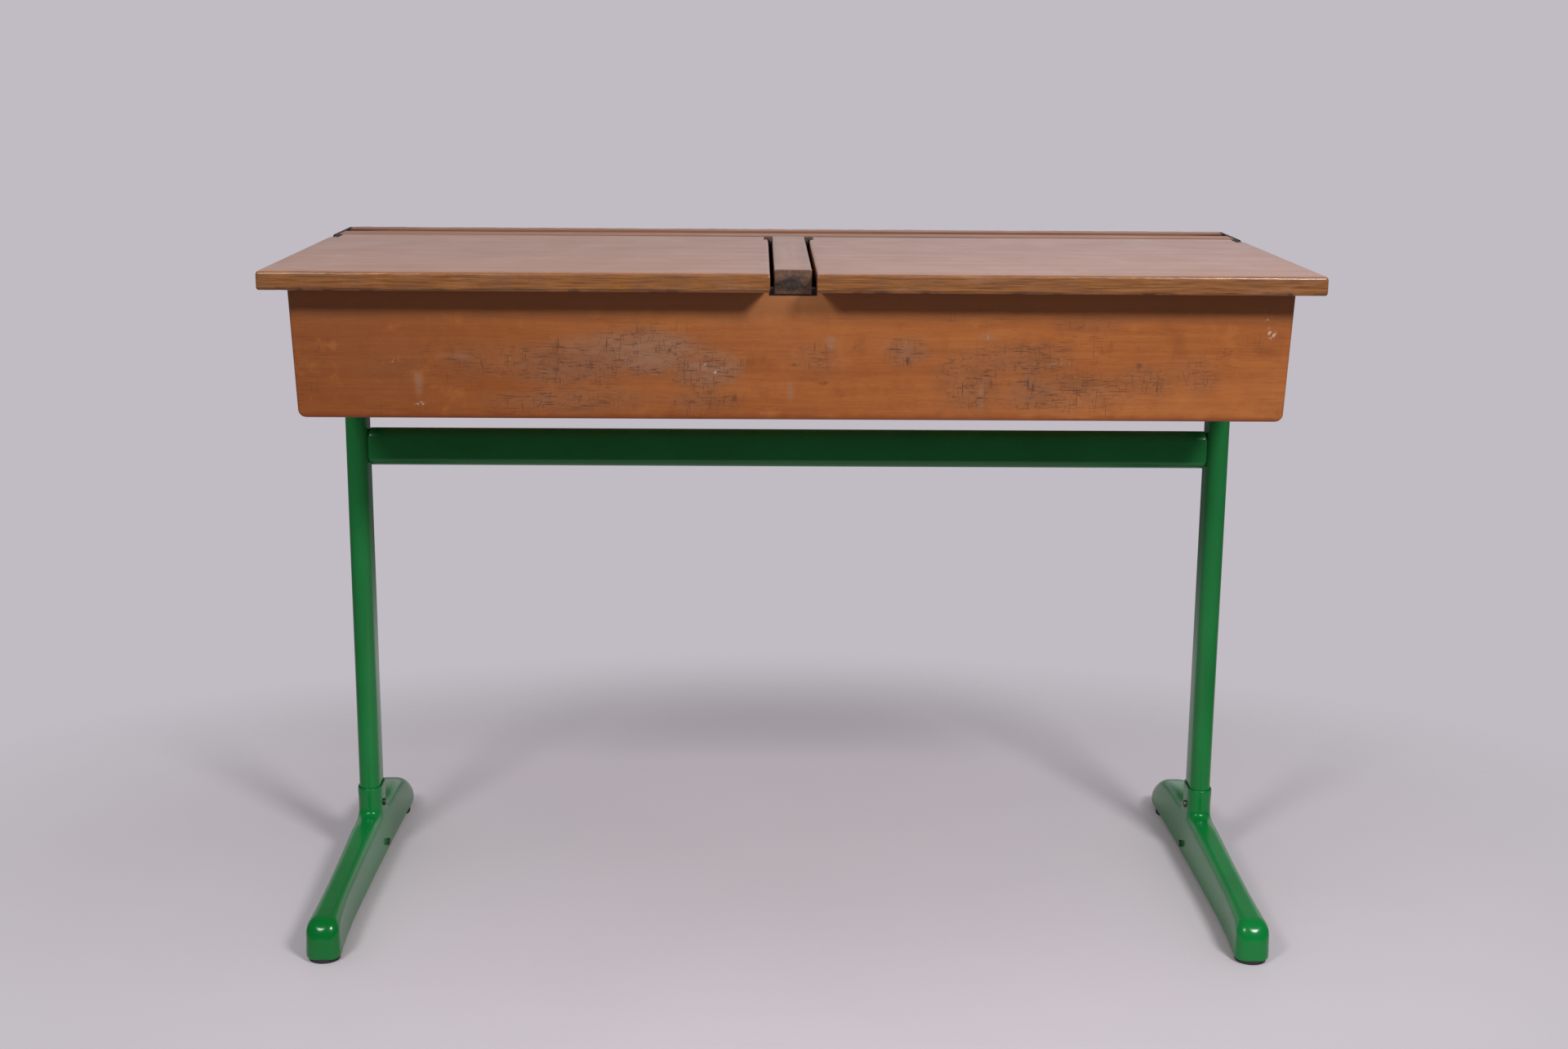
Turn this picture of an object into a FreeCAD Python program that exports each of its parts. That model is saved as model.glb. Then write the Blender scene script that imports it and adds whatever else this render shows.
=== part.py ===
import FreeCAD, Part
import os

# Double school desk: two lift-up lids over two book compartments, a fixed rear
# rail with a pen groove, and a steel tube frame on two cast feet.
# Millimetres. +X to the right, +Y away from the pupils, +Z up.
# The origin is on the floor, under the middle of the desk.

V = FreeCAD.Vector

# Whole desk
top_width = 1067.0
desk_height = 720.0
toe_reach = 41.0

# Lids
lid_thickness = 19.0
lid_depth = 411.0
lid_nose_radius = 2.8
lid_lower_radius = 2.5
lid_corner_radius = 3.0
lid_seat_gap = 0.3

# Centre bar between the lids
bar_width = 38.5
bar_thickness = 25.0
bar_side_gap = 4.3
bar_edge_radius = 1.5

# Rear rail and its pen groove
rail_depth = 98.0
rail_front_gap = 1.2
rail_edge_radius = 2.0
rail_corner_radius = 4.0
groove_width = 30.0
groove_depth = 9.0
groove_front_land = 39.0

# Wooden box
panel_height = 134.7
front_overhang = 41.5
side_overhang = 21.7
rear_overhang = 20.0
box_taper = 6.1
front_thickness = 19.0
back_thickness = 16.0
end_thickness = 16.0
partition_thickness = 19.0
floor_thickness = 9.0
floor_recess = 6.0
housing_depth = 6.0
panel_corner_radius = 8.0
panel_edge_radius = 2.0

# Dowels that hold the top's fixed pieces down
dowel_radius = 4.0
dowel_half_length = 10.0
dowel_fit = 0.05
bar_dowel_count = 3
rail_dowel_count = 4

# Pivot hinges at both ends of each lid
pivot_depth = 8.0
pin_radius = 2.5
pin_running_fit = 0.06
leaf_height = 15.2
leaf_top_gap = 0.3
rail_leaf_thickness = 4.0
bar_leaf_thickness = 3.0
bar_leaf_length = 52.0
lid_leaf_thickness = 5.0
lid_leaf_reach = 42.0
leaf_side_gap = 0.5
tab_thickness = 3.0
tab_width = 11.0
leaf_notch_gap = 0.3
pin_end_gap = 0.4

# Hinge screws
hinge_screw_radius = 1.8
hinge_screw_head_radius = 3.4
hinge_screw_length = 14.0
hinge_screw_cone = 1.6
screw_fit = 0.1
screw_slot_width = 0.8
screw_slot_depth = 0.7
tab_screw_length = 12.0
tab_screw_inset = 7.0
leaf_screw_inset = 9.0

# Flat-oval steel tube of the frame
tube_depth = 43.0
tube_width = 22.2
tube_wall = 2.0
leg_side_inset = 44.6
leg_rear_offset = 6.0
rail_tube_bottom = 471.0
rail_end_radius = 8.0
rail_end_cap = 10.0
vent_radius = 3.0
vent_inset = 40.0

# Steel bearers that carry the box on the legs
bearer_thickness = 5.0
bearer_width = 34.0
bearer_end_gap = 57.0
bearer_corner_radius = 6.0
bearer_outer_inset = 2.5
bearer_screw_radius = 2.4
bearer_screw_head_radius = 4.6
bearer_screw_cone = 2.2
bearer_screw_length = 26.0
floor_screw_length = 12.5
bearer_screw_edge = 7.0
bearer_screw_end = 18.0
bearer_floor_screw_end = 70.0

# Cast feet
foot_width = 35.0
toe_height = 46.0
toe_radius = 15.0
crest_height = 57.0
crest_reach = 63.0
heel_reach = 183.0
foot_edge_radius = 14.0
sole_height = 5.0
sole_edge_radius = 2.0
foot_wall = 6.0
hollow_height = 24.0
neck_wall = 3.0
neck_height = 89.0
neck_rim_radius = 1.2
neck_flare = 9.0
neck_flare_height = 13.0
flare_steps = 6
socket_fit = 0.2
socket_floor = 9.0

# Screws that hold the legs in the feet
foot_screw_radius = 3.0
foot_screw_head_radius = 4.2
foot_screw_head_height = 2.4
foot_screw_slot_width = 1.2
foot_screw_slot_depth = 1.3
foot_screw_lead = 5.2
foot_screw_seat_room = 0.8
socket_screw_height = 66.0
base_screw_height = 16.0

# Glides under the feet
glide_radius = 16.5
glide_edge_radius = 1.0
glide_stem_radius = 3.0
glide_stem_length = 9.0
glide_fit = 0.1
front_glide_inset = 17.0
rear_glide_inset = 45.0

overrun = 5.0

# Derived places
overall_depth = toe_reach + lid_depth + rail_front_gap + rail_depth
toe_y = -overall_depth / 2
lid_front_y = toe_y + toe_reach
lid_rear_y = lid_front_y + lid_depth
rail_front_y = lid_rear_y + rail_front_gap
rail_rear_y = rail_front_y + rail_depth
pivot_y = lid_rear_y - pivot_depth
pivot_z = desk_height - pivot_depth
lid_bottom_z = desk_height - lid_thickness
box_top_z = lid_bottom_z - lid_seat_gap
bar_bottom_z = desk_height - bar_thickness
panel_bottom_z = box_top_z - panel_height
floor_bottom_z = panel_bottom_z + floor_recess
floor_top_z = floor_bottom_z + floor_thickness
top_half = top_width / 2
bar_half = bar_width / 2
lid_inner_x = bar_half + bar_side_gap
box_top_half = top_half - side_overhang
box_bottom_half = box_top_half - box_taper
front_face_y = lid_front_y + front_overhang
front_inner_y = front_face_y + front_thickness
back_face_y = rail_rear_y - rear_overhang
back_inner_y = back_face_y - back_thickness
rail_leaf_inner_x = top_half - rail_leaf_thickness
lid_leaf_outer_x = rail_leaf_inner_x - leaf_side_gap
bar_leaf_outer_x = bar_half + bar_leaf_thickness
lid_leaf_inner_x = bar_leaf_outer_x + leaf_side_gap
leg_x = top_half - leg_side_inset
leg_y = (front_face_y + back_face_y) / 2 + leg_rear_offset
leg_top_z = floor_bottom_z - bearer_thickness
neck_width = tube_width + 2 * neck_wall
neck_depth = tube_depth + 2 * neck_wall
heel_y = leg_y + heel_reach
crest_end_y = leg_y + crest_reach
foot_half = foot_width / 2


def box(x0, x1, y0, y1, z0, z1):
    return Part.makeBox(x1 - x0, y1 - y0, z1 - z0, V(x0, y0, z0))


def rod(radius, start, direction, length):
    return Part.makeCylinder(radius, length, start, direction)


def front_prism(points, y0, y1):
    # Points are (x, z); the solid runs along Y.
    wire = Part.makePolygon([V(x, y0, z) for x, z in points + points[:1]])
    return Part.Face(wire).extrude(V(0, y1 - y0, 0))


def mirrored(shape):
    return shape.mirror(V(0, 0, 0), V(1, 0, 0))


def on_side(shape, side):
    return shape if side > 0 else mirrored(shape)


def edges_where(shape, test):
    return [e for e in shape.Edges if test(e)]


def lies_at(edge, axis, value):
    near = 1e-6 * top_width
    return all(abs(getattr(v.Point, axis) - value) < near for v in edge.Vertexes)


def is_upright(edge):
    return edge.Vertexes[0].Z != edge.Vertexes[1].Z


def runs_deep(edge):
    return edge.Vertexes[0].Y != edge.Vertexes[1].Y


def oval_wire(size_x, size_y, z, centre_x, centre_y):
    # Flat oval, longer along Y, with half-round ends.
    r = size_x / 2
    flat = size_y / 2 - r
    a = V(centre_x + r, centre_y - flat, z)
    b = V(centre_x + r, centre_y + flat, z)
    c = V(centre_x - r, centre_y + flat, z)
    d = V(centre_x - r, centre_y - flat, z)
    rear = V(centre_x, centre_y + size_y / 2, z)
    front = V(centre_x, centre_y - size_y / 2, z)
    edges = [
        Part.LineSegment(a, b).toShape(),
        Part.Arc(b, rear, c).toShape(),
        Part.LineSegment(c, d).toShape(),
        Part.Arc(d, front, a).toShape(),
    ]
    return Part.Wire(edges)


def oval_bar(size_x, size_y, z0, z1, centre_x, centre_y):
    face = Part.Face(oval_wire(size_x, size_y, z0, centre_x, centre_y))
    return face.extrude(V(0, 0, z1 - z0))


def export(node, shape):
    solids = shape.Solids
    good = all(s.isValid() for s in solids)
    shape = solids[0] if len(solids) == 1 else Part.makeCompound(solids)
    shape.exportStep("parts/" + node + ".step")
    print(node, len(solids), "solid(s)", "valid" if good else "NOT VALID", round(shape.Volume))


def wood_screw(tip, direction, length, radius, head_radius, cone):
    # Countersunk screw whose flat head lies at the far end of the direction.
    d = V(direction)
    head = tip + d * length
    shank = rod(radius, tip, d, length - cone / 2)
    cone_start = head - d * cone
    body = shank.fuse(Part.makeCone(radius, head_radius, cone, cone_start, d))
    across = d.cross(V(0, 1, 0))
    if across.Length < 0.5:
        across = d.cross(V(0, 0, 1))
    across.normalize()
    other = d.cross(across)
    reach = head_radius + overrun
    corner = head - across * (screw_slot_width / 2) - other * reach - d * screw_slot_depth
    slot = slot_block(corner, across, screw_slot_width, other, 2 * reach, d, screw_slot_depth + overrun)
    return body.cut(slot).removeSplitter()


def slot_block(corner, u, u_length, v, v_length, w, w_length):
    p = [corner, corner + u * u_length, corner + u * u_length + v * v_length, corner + v * v_length]
    return Part.Face(Part.makePolygon(p + p[:1])).extrude(w * w_length)


def screw_room(tip, direction, length, radius, head_radius, cone):
    # The hole for such a screw, with a countersink that runs out past the surface.
    d = V(direction)
    head = tip + d * length
    hole = rod(radius + screw_fit, tip - d * screw_fit, d, length + screw_fit)
    sink_start = head - d * cone
    sink = Part.makeCone(radius + screw_fit, head_radius + screw_fit, cone, sink_start, d)
    return hole.fuse(sink).fuse(rod(head_radius + screw_fit, head, d, overrun))


# Lids: a board each, rounded about the pivot at the rear, notched for the lid leaves
def lid_blank():
    body = box(lid_inner_x, top_half, lid_front_y, lid_rear_y, lid_bottom_z, desk_height)
    corners = edges_where(body, lambda e: lies_at(e, "x", top_half) and lies_at(e, "y", lid_front_y))
    body = body.makeFillet(lid_corner_radius, corners)
    rear = edges_where(body, lambda e: lies_at(e, "y", lid_rear_y) and lies_at(e, "z", desk_height))
    body = body.makeFillet(pivot_depth, rear)
    upper = edges_where(body, lambda e: lies_at(e, "z", desk_height) and not lies_at(e, "y", pivot_y))
    body = body.makeFillet(lid_nose_radius, upper)
    under = edges_where(body, lambda e: lies_at(e, "z", lid_bottom_z) and not lies_at(e, "y", lid_rear_y))
    body = body.makeFillet(lid_lower_radius, under)
    return body.cut(swept_corner())


def swept_corner():
    # The lower rear corner would dig into the box as the lid turns, so it is round about the pivot.
    x0 = lid_inner_x - overrun
    x1 = top_half + overrun
    corner = box(x0, x1, pivot_y, lid_rear_y + overrun, lid_bottom_z - overrun, pivot_z)
    return corner.cut(pivot_rod(pivot_z - lid_bottom_z, x0, x1))


def leaf_notch(x0, x1):
    front = lid_rear_y - lid_leaf_reach - leaf_notch_gap
    return box(x0, x1, front, lid_rear_y + overrun, lid_bottom_z - overrun, desk_height + overrun)


def lid_leaf_profile():
    # Side view of the leaf: flush with the lid's top, round about the pivot.
    front = lid_rear_y - lid_leaf_reach
    low = lid_bottom_z - tab_thickness
    rear = V(0, pivot_y + pivot_depth, pivot_z)
    edges = [
        Part.LineSegment(V(0, front, low), V(0, front, desk_height)).toShape(),
        Part.LineSegment(V(0, front, desk_height), V(0, pivot_y, desk_height)).toShape(),
        Part.Arc(V(0, pivot_y, desk_height), quarter_point(), rear).toShape(),
        Part.LineSegment(rear, V(0, pivot_y, low)).toShape(),
        Part.LineSegment(V(0, pivot_y, low), V(0, front, low)).toShape(),
    ]
    return Part.Face(Part.Wire(edges))


def quarter_point():
    reach = pivot_depth * 0.5 ** 0.5
    return V(0, pivot_y + reach, pivot_z + reach)


def pivot_rod(radius, x0, x1):
    # A cylinder about the hinge axis, from one x to another.
    return rod(radius, V(x0, pivot_y, pivot_z), V(1, 0, 0), x1 - x0)


def lid_leaf(span, tab_span):
    x0, x1 = span
    plate = lid_leaf_profile()
    plate.translate(V(x0, 0, 0))
    plate = plate.extrude(V(x1 - x0, 0, 0))
    front = lid_rear_y - lid_leaf_reach
    tab = box(*tab_span, front, pivot_y, lid_bottom_z - tab_thickness, lid_bottom_z)
    eye = pivot_rod(pin_radius + pin_running_fit, x0 - overrun, x1 + overrun)
    return plate.fuse(tab).cut(eye).removeSplitter()


def tab_screws(tab_span, make):
    front = lid_rear_y - lid_leaf_reach
    middle = sum(tab_span) / 2
    tip_z = lid_bottom_z - tab_thickness + tab_screw_length
    tips = [V(middle, y, tip_z) for y in (front + tab_screw_inset, pivot_y - tab_screw_inset)]
    size = (tab_screw_length, hinge_screw_radius, hinge_screw_head_radius, hinge_screw_cone)
    return [make(tip, V(0, 0, -1), *size) for tip in tips]


outer_leaf_x = (lid_leaf_outer_x - lid_leaf_thickness, lid_leaf_outer_x)
outer_tab_x = (outer_leaf_x[0] - tab_width, outer_leaf_x[0])
inner_leaf_x = (lid_leaf_inner_x, lid_leaf_inner_x + lid_leaf_thickness)
inner_tab_x = (inner_leaf_x[1], inner_leaf_x[1] + tab_width)

lid = lid_blank()
lid = lid.cut(leaf_notch(outer_leaf_x[0], top_half + overrun))
lid = lid.cut(leaf_notch(lid_inner_x - overrun, inner_leaf_x[1]))
lid_leaf_outer = lid_leaf(outer_leaf_x, outer_tab_x)
lid_leaf_inner = lid_leaf(inner_leaf_x, inner_tab_x)
for room in tab_screws(outer_tab_x, screw_room):
    lid = lid.cut(room)
    lid_leaf_outer = lid_leaf_outer.cut(room)
for room in tab_screws(inner_tab_x, screw_room):
    lid = lid.cut(room)
    lid_leaf_inner = lid_leaf_inner.cut(room)
lid_screws = tab_screws(outer_tab_x, wood_screw) + tab_screws(inner_tab_x, wood_screw)

# Centre bar: fixed between the lids, from the front panel's face back to the rail
bar = box(-bar_half, bar_half, front_face_y, rail_front_y, bar_bottom_z, desk_height)
bar_rim = edges_where(bar, lambda e: lies_at(e, "z", desk_height) and not lies_at(e, "y", rail_front_y))
bar = bar.makeFillet(bar_edge_radius, bar_rim)

# Rear rail: full width between the two rail leaves, with a cove for pens
rail_half = rail_leaf_inner_x
rail = box(-rail_half, rail_half, rail_front_y, rail_rear_y, box_top_z, desk_height)
rear_corners = edges_where(rail, lambda e: lies_at(e, "y", rail_rear_y) and is_upright(e))
rail = rail.makeFillet(rail_corner_radius, rear_corners)
top_edges = edges_where(rail, lambda e: lies_at(e, "z", desk_height))
rail = rail.makeFillet(rail_edge_radius, top_edges)
groove_radius = (groove_width ** 2 / 4 + groove_depth ** 2) / (2 * groove_depth)
groove_y = rail_front_y + groove_front_land + groove_width / 2
groove_centre_z = desk_height + groove_radius - groove_depth
rail = rail.cut(rod(groove_radius, V(-top_half, groove_y, groove_centre_z), V(1, 0, 0), top_width))


# Fixed leaves: a plate on each end of the rail and on each side of the bar
def fixed_leaf(x0, x1, y0, y1):
    # The plate and its round eye lie just under the top surface.
    top_z = desk_height - leaf_top_gap
    plate = box(x0, x1, y0, y1, top_z - leaf_height, top_z)
    eye = pivot_rod(pivot_depth - leaf_top_gap, x0, x1)
    return plate.fuse(eye).cut(pivot_rod(pin_radius, x0 - overrun, x1 + overrun)).removeSplitter()


def leaf_screw_tips():
    # The screws of both leaves point inwards, along X.
    rail_rear = rail_rear_y - rail_corner_radius - leaf_screw_inset
    rail_front = rail_front_y + 2 * leaf_screw_inset
    bar_front = pivot_y - bar_leaf_length + leaf_screw_inset
    bar_rear = pivot_y - pivot_depth - leaf_screw_inset
    outer = [V(top_half - hinge_screw_length, y, pivot_z) for y in (rail_front, rail_rear)]
    inner = [V(bar_leaf_outer_x - hinge_screw_length, y, pivot_z) for y in (bar_front, bar_rear)]
    return outer, inner


def hinge_screws(tips, make):
    size = (hinge_screw_length, hinge_screw_radius, hinge_screw_head_radius, hinge_screw_cone)
    return [make(tip, V(1, 0, 0), *size) for tip in tips]


rail_tips, bar_tips = leaf_screw_tips()
fixed_rail_leaf = fixed_leaf(rail_leaf_inner_x, top_half, pivot_y, rail_rear_y - rail_corner_radius)
fixed_bar_leaf = fixed_leaf(bar_half, bar_leaf_outer_x, pivot_y - bar_leaf_length, pivot_y)
for room in hinge_screws(rail_tips, screw_room):
    fixed_rail_leaf = fixed_rail_leaf.cut(room)
    rail = rail.cut(room).cut(mirrored(room))
for room in hinge_screws(bar_tips, screw_room):
    fixed_bar_leaf = fixed_bar_leaf.cut(room)
    bar = bar.cut(room).cut(mirrored(room))
fixed_screws = hinge_screws(rail_tips, wood_screw) + hinge_screws(bar_tips, wood_screw)

outer_pin = pivot_rod(pin_radius, outer_leaf_x[0] + pin_end_gap, top_half)
inner_pin = pivot_rod(pin_radius, bar_half, inner_leaf_x[1] - pin_end_gap)


# Wooden box: front and back panels, housed ends and partition, and a floor board
def half_width_at(z):
    return box_top_half - box_taper * (box_top_z - z) / panel_height


def tapered_panel(y0, y1):
    points = [
        (-box_bottom_half, panel_bottom_z),
        (box_bottom_half, panel_bottom_z),
        (box_top_half, box_top_z),
        (-box_top_half, box_top_z),
    ]
    panel = front_prism(points, y0, y1)
    low = edges_where(panel, lambda e: runs_deep(e) and lies_at(e, "z", panel_bottom_z))
    return panel.makeFillet(panel_corner_radius, low)


def end_panel():
    outer_low = half_width_at(floor_bottom_z)
    points = [
        (outer_low - end_thickness, floor_bottom_z),
        (outer_low, floor_bottom_z),
        (box_top_half, box_top_z),
        (box_top_half - end_thickness, box_top_z),
    ]
    return front_prism(points, front_inner_y - housing_depth, back_inner_y + housing_depth)


end = end_panel()
partition = box(
    -partition_thickness / 2,
    partition_thickness / 2,
    front_inner_y - housing_depth,
    back_inner_y + housing_depth,
    floor_top_z,
    box_top_z,
)
floor_points = [
    (end_thickness - half_width_at(floor_bottom_z), floor_bottom_z),
    (half_width_at(floor_bottom_z) - end_thickness, floor_bottom_z),
    (half_width_at(floor_top_z) - end_thickness, floor_top_z),
    (end_thickness - half_width_at(floor_top_z), floor_top_z),
]
floor_board = front_prism(floor_points, front_inner_y - housing_depth, back_inner_y + housing_depth)
front = tapered_panel(front_face_y, front_inner_y)
front_low = edges_where(
    front,
    lambda e: lies_at(e, "y", front_face_y) and not lies_at(e, "z", box_top_z),
)
front = front.makeFillet(panel_edge_radius, front_low)
back = tapered_panel(back_inner_y, back_face_y)
housed = [end, mirrored(end), partition, floor_board]
for piece in housed:
    front = front.cut(piece)
    back = back.cut(piece)
front = front.cut(bar)
partition = partition.cut(bar)


# Dowels stand half in the bar or the rail, and half in the wood below
def dowel_places():
    places = []
    first = front_inner_y + end_thickness
    step = (back_inner_y - first) / bar_dowel_count
    for i in range(bar_dowel_count):
        y = first + step * i
        if y < rail_front_y - dowel_radius:
            places.append(V(0, y, bar_bottom_z))
    rear_y = back_face_y - back_thickness / 2
    rail_step = (2 * box_top_half - 2 * end_thickness) / rail_dowel_count
    for i in range(rail_dowel_count):
        x = -box_top_half + end_thickness + rail_step * (i + 0.5)
        places.append(V(x, rear_y, box_top_z))
    side_x = box_top_half - end_thickness / 2
    side_y = (rail_front_y + groove_y) / 2 - groove_width / 4
    places += [V(-side_x, side_y, box_top_z), V(side_x, side_y, box_top_z)]
    return places


def dowel(place, radius, half_length):
    return rod(radius, place - V(0, 0, half_length), V(0, 0, 1), 2 * half_length)


dowels = [dowel(p, dowel_radius, dowel_half_length) for p in dowel_places()]
end_right = end
end_left = mirrored(end)
for p in dowel_places():
    hole = dowel(p, dowel_radius + dowel_fit, dowel_half_length + dowel_fit)
    bar = bar.cut(hole)
    rail = rail.cut(hole)
    partition = partition.cut(hole)
    back = back.cut(hole)
    end_left = end_left.cut(hole)
    end_right = end_right.cut(hole)


# Bearers: a flat steel bar on each leg, screwed up into the end panel and the floor
bearer_x1 = half_width_at(floor_bottom_z) - bearer_outer_inset
bearer_x0 = bearer_x1 - bearer_width
bearer_y0 = front_inner_y + bearer_end_gap
bearer_y1 = back_inner_y - bearer_end_gap


def bearer_screw_places():
    # Long screws go into the end panel, short ones into the floor board.
    outer_x = bearer_x1 - bearer_screw_edge
    inner_x = bearer_x0 + bearer_screw_edge
    places = []
    for end_y, inwards in ((bearer_y0, 1), (bearer_y1, -1)):
        places.append((outer_x, end_y + inwards * bearer_screw_end, bearer_screw_length))
        places.append((inner_x, end_y + inwards * bearer_floor_screw_end, floor_screw_length))
    return places


def bearer_screws(make):
    size = (bearer_screw_radius, bearer_screw_head_radius, bearer_screw_cone)
    shapes = []
    for x, y, length in bearer_screw_places():
        shapes.append(make(V(x, y, leg_top_z + length), V(0, 0, -1), length, *size))
    return shapes


bearer = box(bearer_x0, bearer_x1, bearer_y0, bearer_y1, leg_top_z, floor_bottom_z)
bearer = bearer.makeFillet(bearer_corner_radius, edges_where(bearer, is_upright))
for room in bearer_screws(screw_room):
    bearer = bearer.cut(room)
    end_right = end_right.cut(room)
    end_left = end_left.cut(mirrored(room))
    floor_board = floor_board.cut(room).cut(mirrored(room))
box_screws = bearer_screws(wood_screw)


# Frame tubes: two legs and the cross rail between them
def leg_tube():
    outer = oval_bar(tube_width, tube_depth, socket_floor, leg_top_z, leg_x, leg_y)
    bore_width = tube_width - 2 * tube_wall
    bore_depth = tube_depth - 2 * tube_wall
    low = socket_floor - overrun
    return outer.cut(oval_bar(bore_width, bore_depth, low, leg_top_z + overrun, leg_x, leg_y))


def lying_oval(height, depth, half_length):
    # The same flat oval along X: a third of a turn about (1, 1, 1) takes X to Y, Y to Z and Z to X.
    upright = oval_bar(depth, height, -half_length, half_length, 0, 0)
    return upright.rotated(V(0, 0, 0), V(1, 1, 1), 120)


def cross_tube():
    half = leg_x - tube_width / 2
    centre_z = rail_tube_bottom + tube_depth / 2
    outer = lying_oval(tube_depth, tube_width, half)
    ends = box(-half, half, -tube_width, tube_width, -tube_depth / 2, tube_depth / 2)
    outer = outer.common(ends.makeFillet(rail_end_radius, edges_where(ends, runs_deep)))
    bore = lying_oval(tube_depth - 2 * tube_wall, tube_width - 2 * tube_wall, half - rail_end_cap)
    tube = outer.cut(bore)
    for x in (vent_inset - half, half - vent_inset):
        tube = tube.cut(rod(vent_radius, V(x, 0, -tube_depth), V(0, 0, 1), tube_depth))
    tube.translate(V(0, leg_y, centre_z))
    return tube


# Cast foot: a long arm to the toe, a rounded heel, and a neck with the leg's socket
def foot_body():
    # The side view is extruded across the foot, then its upper and sole edges are rounded.
    bend = toe_radius * (1 - 0.5 ** 0.5)
    p0 = V(0, toe_y, sole_height)
    p1 = V(0, toe_y, toe_height - toe_radius)
    p2 = V(0, toe_y + toe_radius, toe_height)
    mid = V(0, toe_y + bend, toe_height - bend)
    p3 = V(0, leg_y, crest_height)
    p4 = V(0, crest_end_y, crest_height)
    p5 = V(0, heel_y, sole_height)
    oval = Part.Ellipse(p5, p4, V(0, crest_end_y, sole_height))
    edges = [
        Part.LineSegment(p0, p1).toShape(),
        Part.Arc(p1, mid, p2).toShape(),
        Part.LineSegment(p2, p3).toShape(),
        Part.LineSegment(p3, p4).toShape(),
        Part.ArcOfEllipse(oval, oval.parameter(p5), oval.parameter(p4)).toShape(),
        Part.LineSegment(p5, p0).toShape(),
    ]
    plate = Part.Face(Part.Wire(edges))
    plate.translate(V(-foot_half, 0, 0))
    plate = plate.extrude(V(foot_width, 0, 0))

    def to_round(e):
        on_face = lies_at(e, "x", -foot_half) or lies_at(e, "x", foot_half)
        return on_face and not lies_at(e, "z", sole_height)

    plate = plate.makeFillet(foot_edge_radius, edges_where(plate, to_round))
    return plate.makeFillet(sole_edge_radius, edges_where(plate, lambda e: lies_at(e, "z", sole_height)))


def neck_flare_ring():
    # Steps along a hollow quarter curve that widens towards the foot.
    sections = []
    for i in range(flare_steps + 1):
        t = i / flare_steps
        grow = neck_flare * (1 - (1 - (1 - t) ** 2) ** 0.5)
        z = crest_height - sole_height + neck_flare_height * t + sole_height * t
        sections.append(oval_wire(neck_width + 2 * grow, neck_depth + 2 * grow, z, 0, leg_y))
    ring = Part.makeLoft(sections, True, True)
    slab = box(-foot_half, foot_half, toe_y, heel_y, sole_height, neck_height)
    return ring.common(slab)


neck = oval_bar(neck_width, neck_depth, crest_height / 2, neck_height, 0, leg_y)
neck_rim = edges_where(neck, lambda e: lies_at(e, "z", neck_height))
neck = neck.makeFillet(neck_rim_radius, neck_rim)
foot = foot_body().fuse([neck, neck_flare_ring()]).removeSplitter()
foot.translate(V(leg_x, 0, 0))
socket_x = tube_width + 2 * socket_fit
socket_y = tube_depth + 2 * socket_fit
foot = foot.cut(oval_bar(socket_x, socket_y, socket_floor, neck_height + overrun, leg_x, leg_y))

# Underside hollows and glide holes
front_glide_y = toe_y + front_glide_inset
rear_glide_y = heel_y - rear_glide_inset
hollow_half = foot_half - foot_wall
front_hollow_y0 = front_glide_y + glide_radius
front_hollow_y1 = leg_y - neck_depth / 2 - foot_wall
rear_hollow_y0 = leg_y + neck_depth / 2 + foot_wall
rear_hollow_y1 = rear_glide_y - glide_radius
for y0, y1 in ((front_hollow_y0, front_hollow_y1), (rear_hollow_y0, rear_hollow_y1)):
    low = sole_height - overrun
    high = sole_height + hollow_height
    foot = foot.cut(box(leg_x - hollow_half, leg_x + hollow_half, y0, y1, low, high))
stem_room_top = sole_height + glide_stem_length + glide_fit
for y in (front_glide_y, rear_glide_y):
    foot = foot.cut(rod(glide_stem_radius + glide_fit, V(leg_x, y, 0), V(0, 0, 1), stem_room_top))


def glide(y):
    pad = Part.makeCylinder(glide_radius, sole_height, V(leg_x, y, 0))
    pad = pad.makeFillet(glide_edge_radius, edges_where(pad, lambda e: lies_at(e, "z", 0)))
    stem = rod(glide_stem_radius, V(leg_x, y, sole_height), V(0, 0, 1), glide_stem_length)
    return pad.fuse(stem).removeSplitter()


# Slotted screws from the inner side of each foot into the leg
def foot_screw(z, face_x):
    head_x = face_x - foot_screw_head_height
    shank_length = leg_x - tube_width / 2 + tube_wall - face_x
    shank = rod(foot_screw_radius, V(face_x, foot_screw_y, z), V(1, 0, 0), shank_length)
    head = rod(foot_screw_head_radius, V(head_x, foot_screw_y, z), V(1, 0, 0), foot_screw_head_height)
    reach = foot_screw_head_radius + overrun
    slot_half = foot_screw_slot_width / 2
    y0 = foot_screw_y - slot_half
    y1 = foot_screw_y + slot_half
    slot = box(head_x - overrun, head_x + foot_screw_slot_depth, y0, y1, z - reach, z + reach)
    return head.fuse(shank).cut(slot).removeSplitter()


leg = leg_tube()
foot_screw_y = leg_y - foot_screw_lead
socket_face_x = leg_x - neck_width / 2
base_face_x = leg_x - foot_half
socket_screw = foot_screw(socket_screw_height, socket_face_x)
base_screw = foot_screw(base_screw_height, base_face_x)
seat_radius = foot_screw_head_radius + foot_screw_seat_room
for z, face_x in ((socket_screw_height, socket_face_x), (base_screw_height, base_face_x)):
    # A hole through foot and leg, and a flat seat for the head where the neck widens.
    start = V(leg_x - foot_width, foot_screw_y, z)
    hole = rod(foot_screw_radius + screw_fit, start, V(1, 0, 0), foot_width)
    seat = rod(seat_radius, V(face_x, foot_screw_y, z), V(-1, 0, 0), overrun)
    foot = foot.cut(hole).cut(seat)
    leg = leg.cut(hole)

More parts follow.
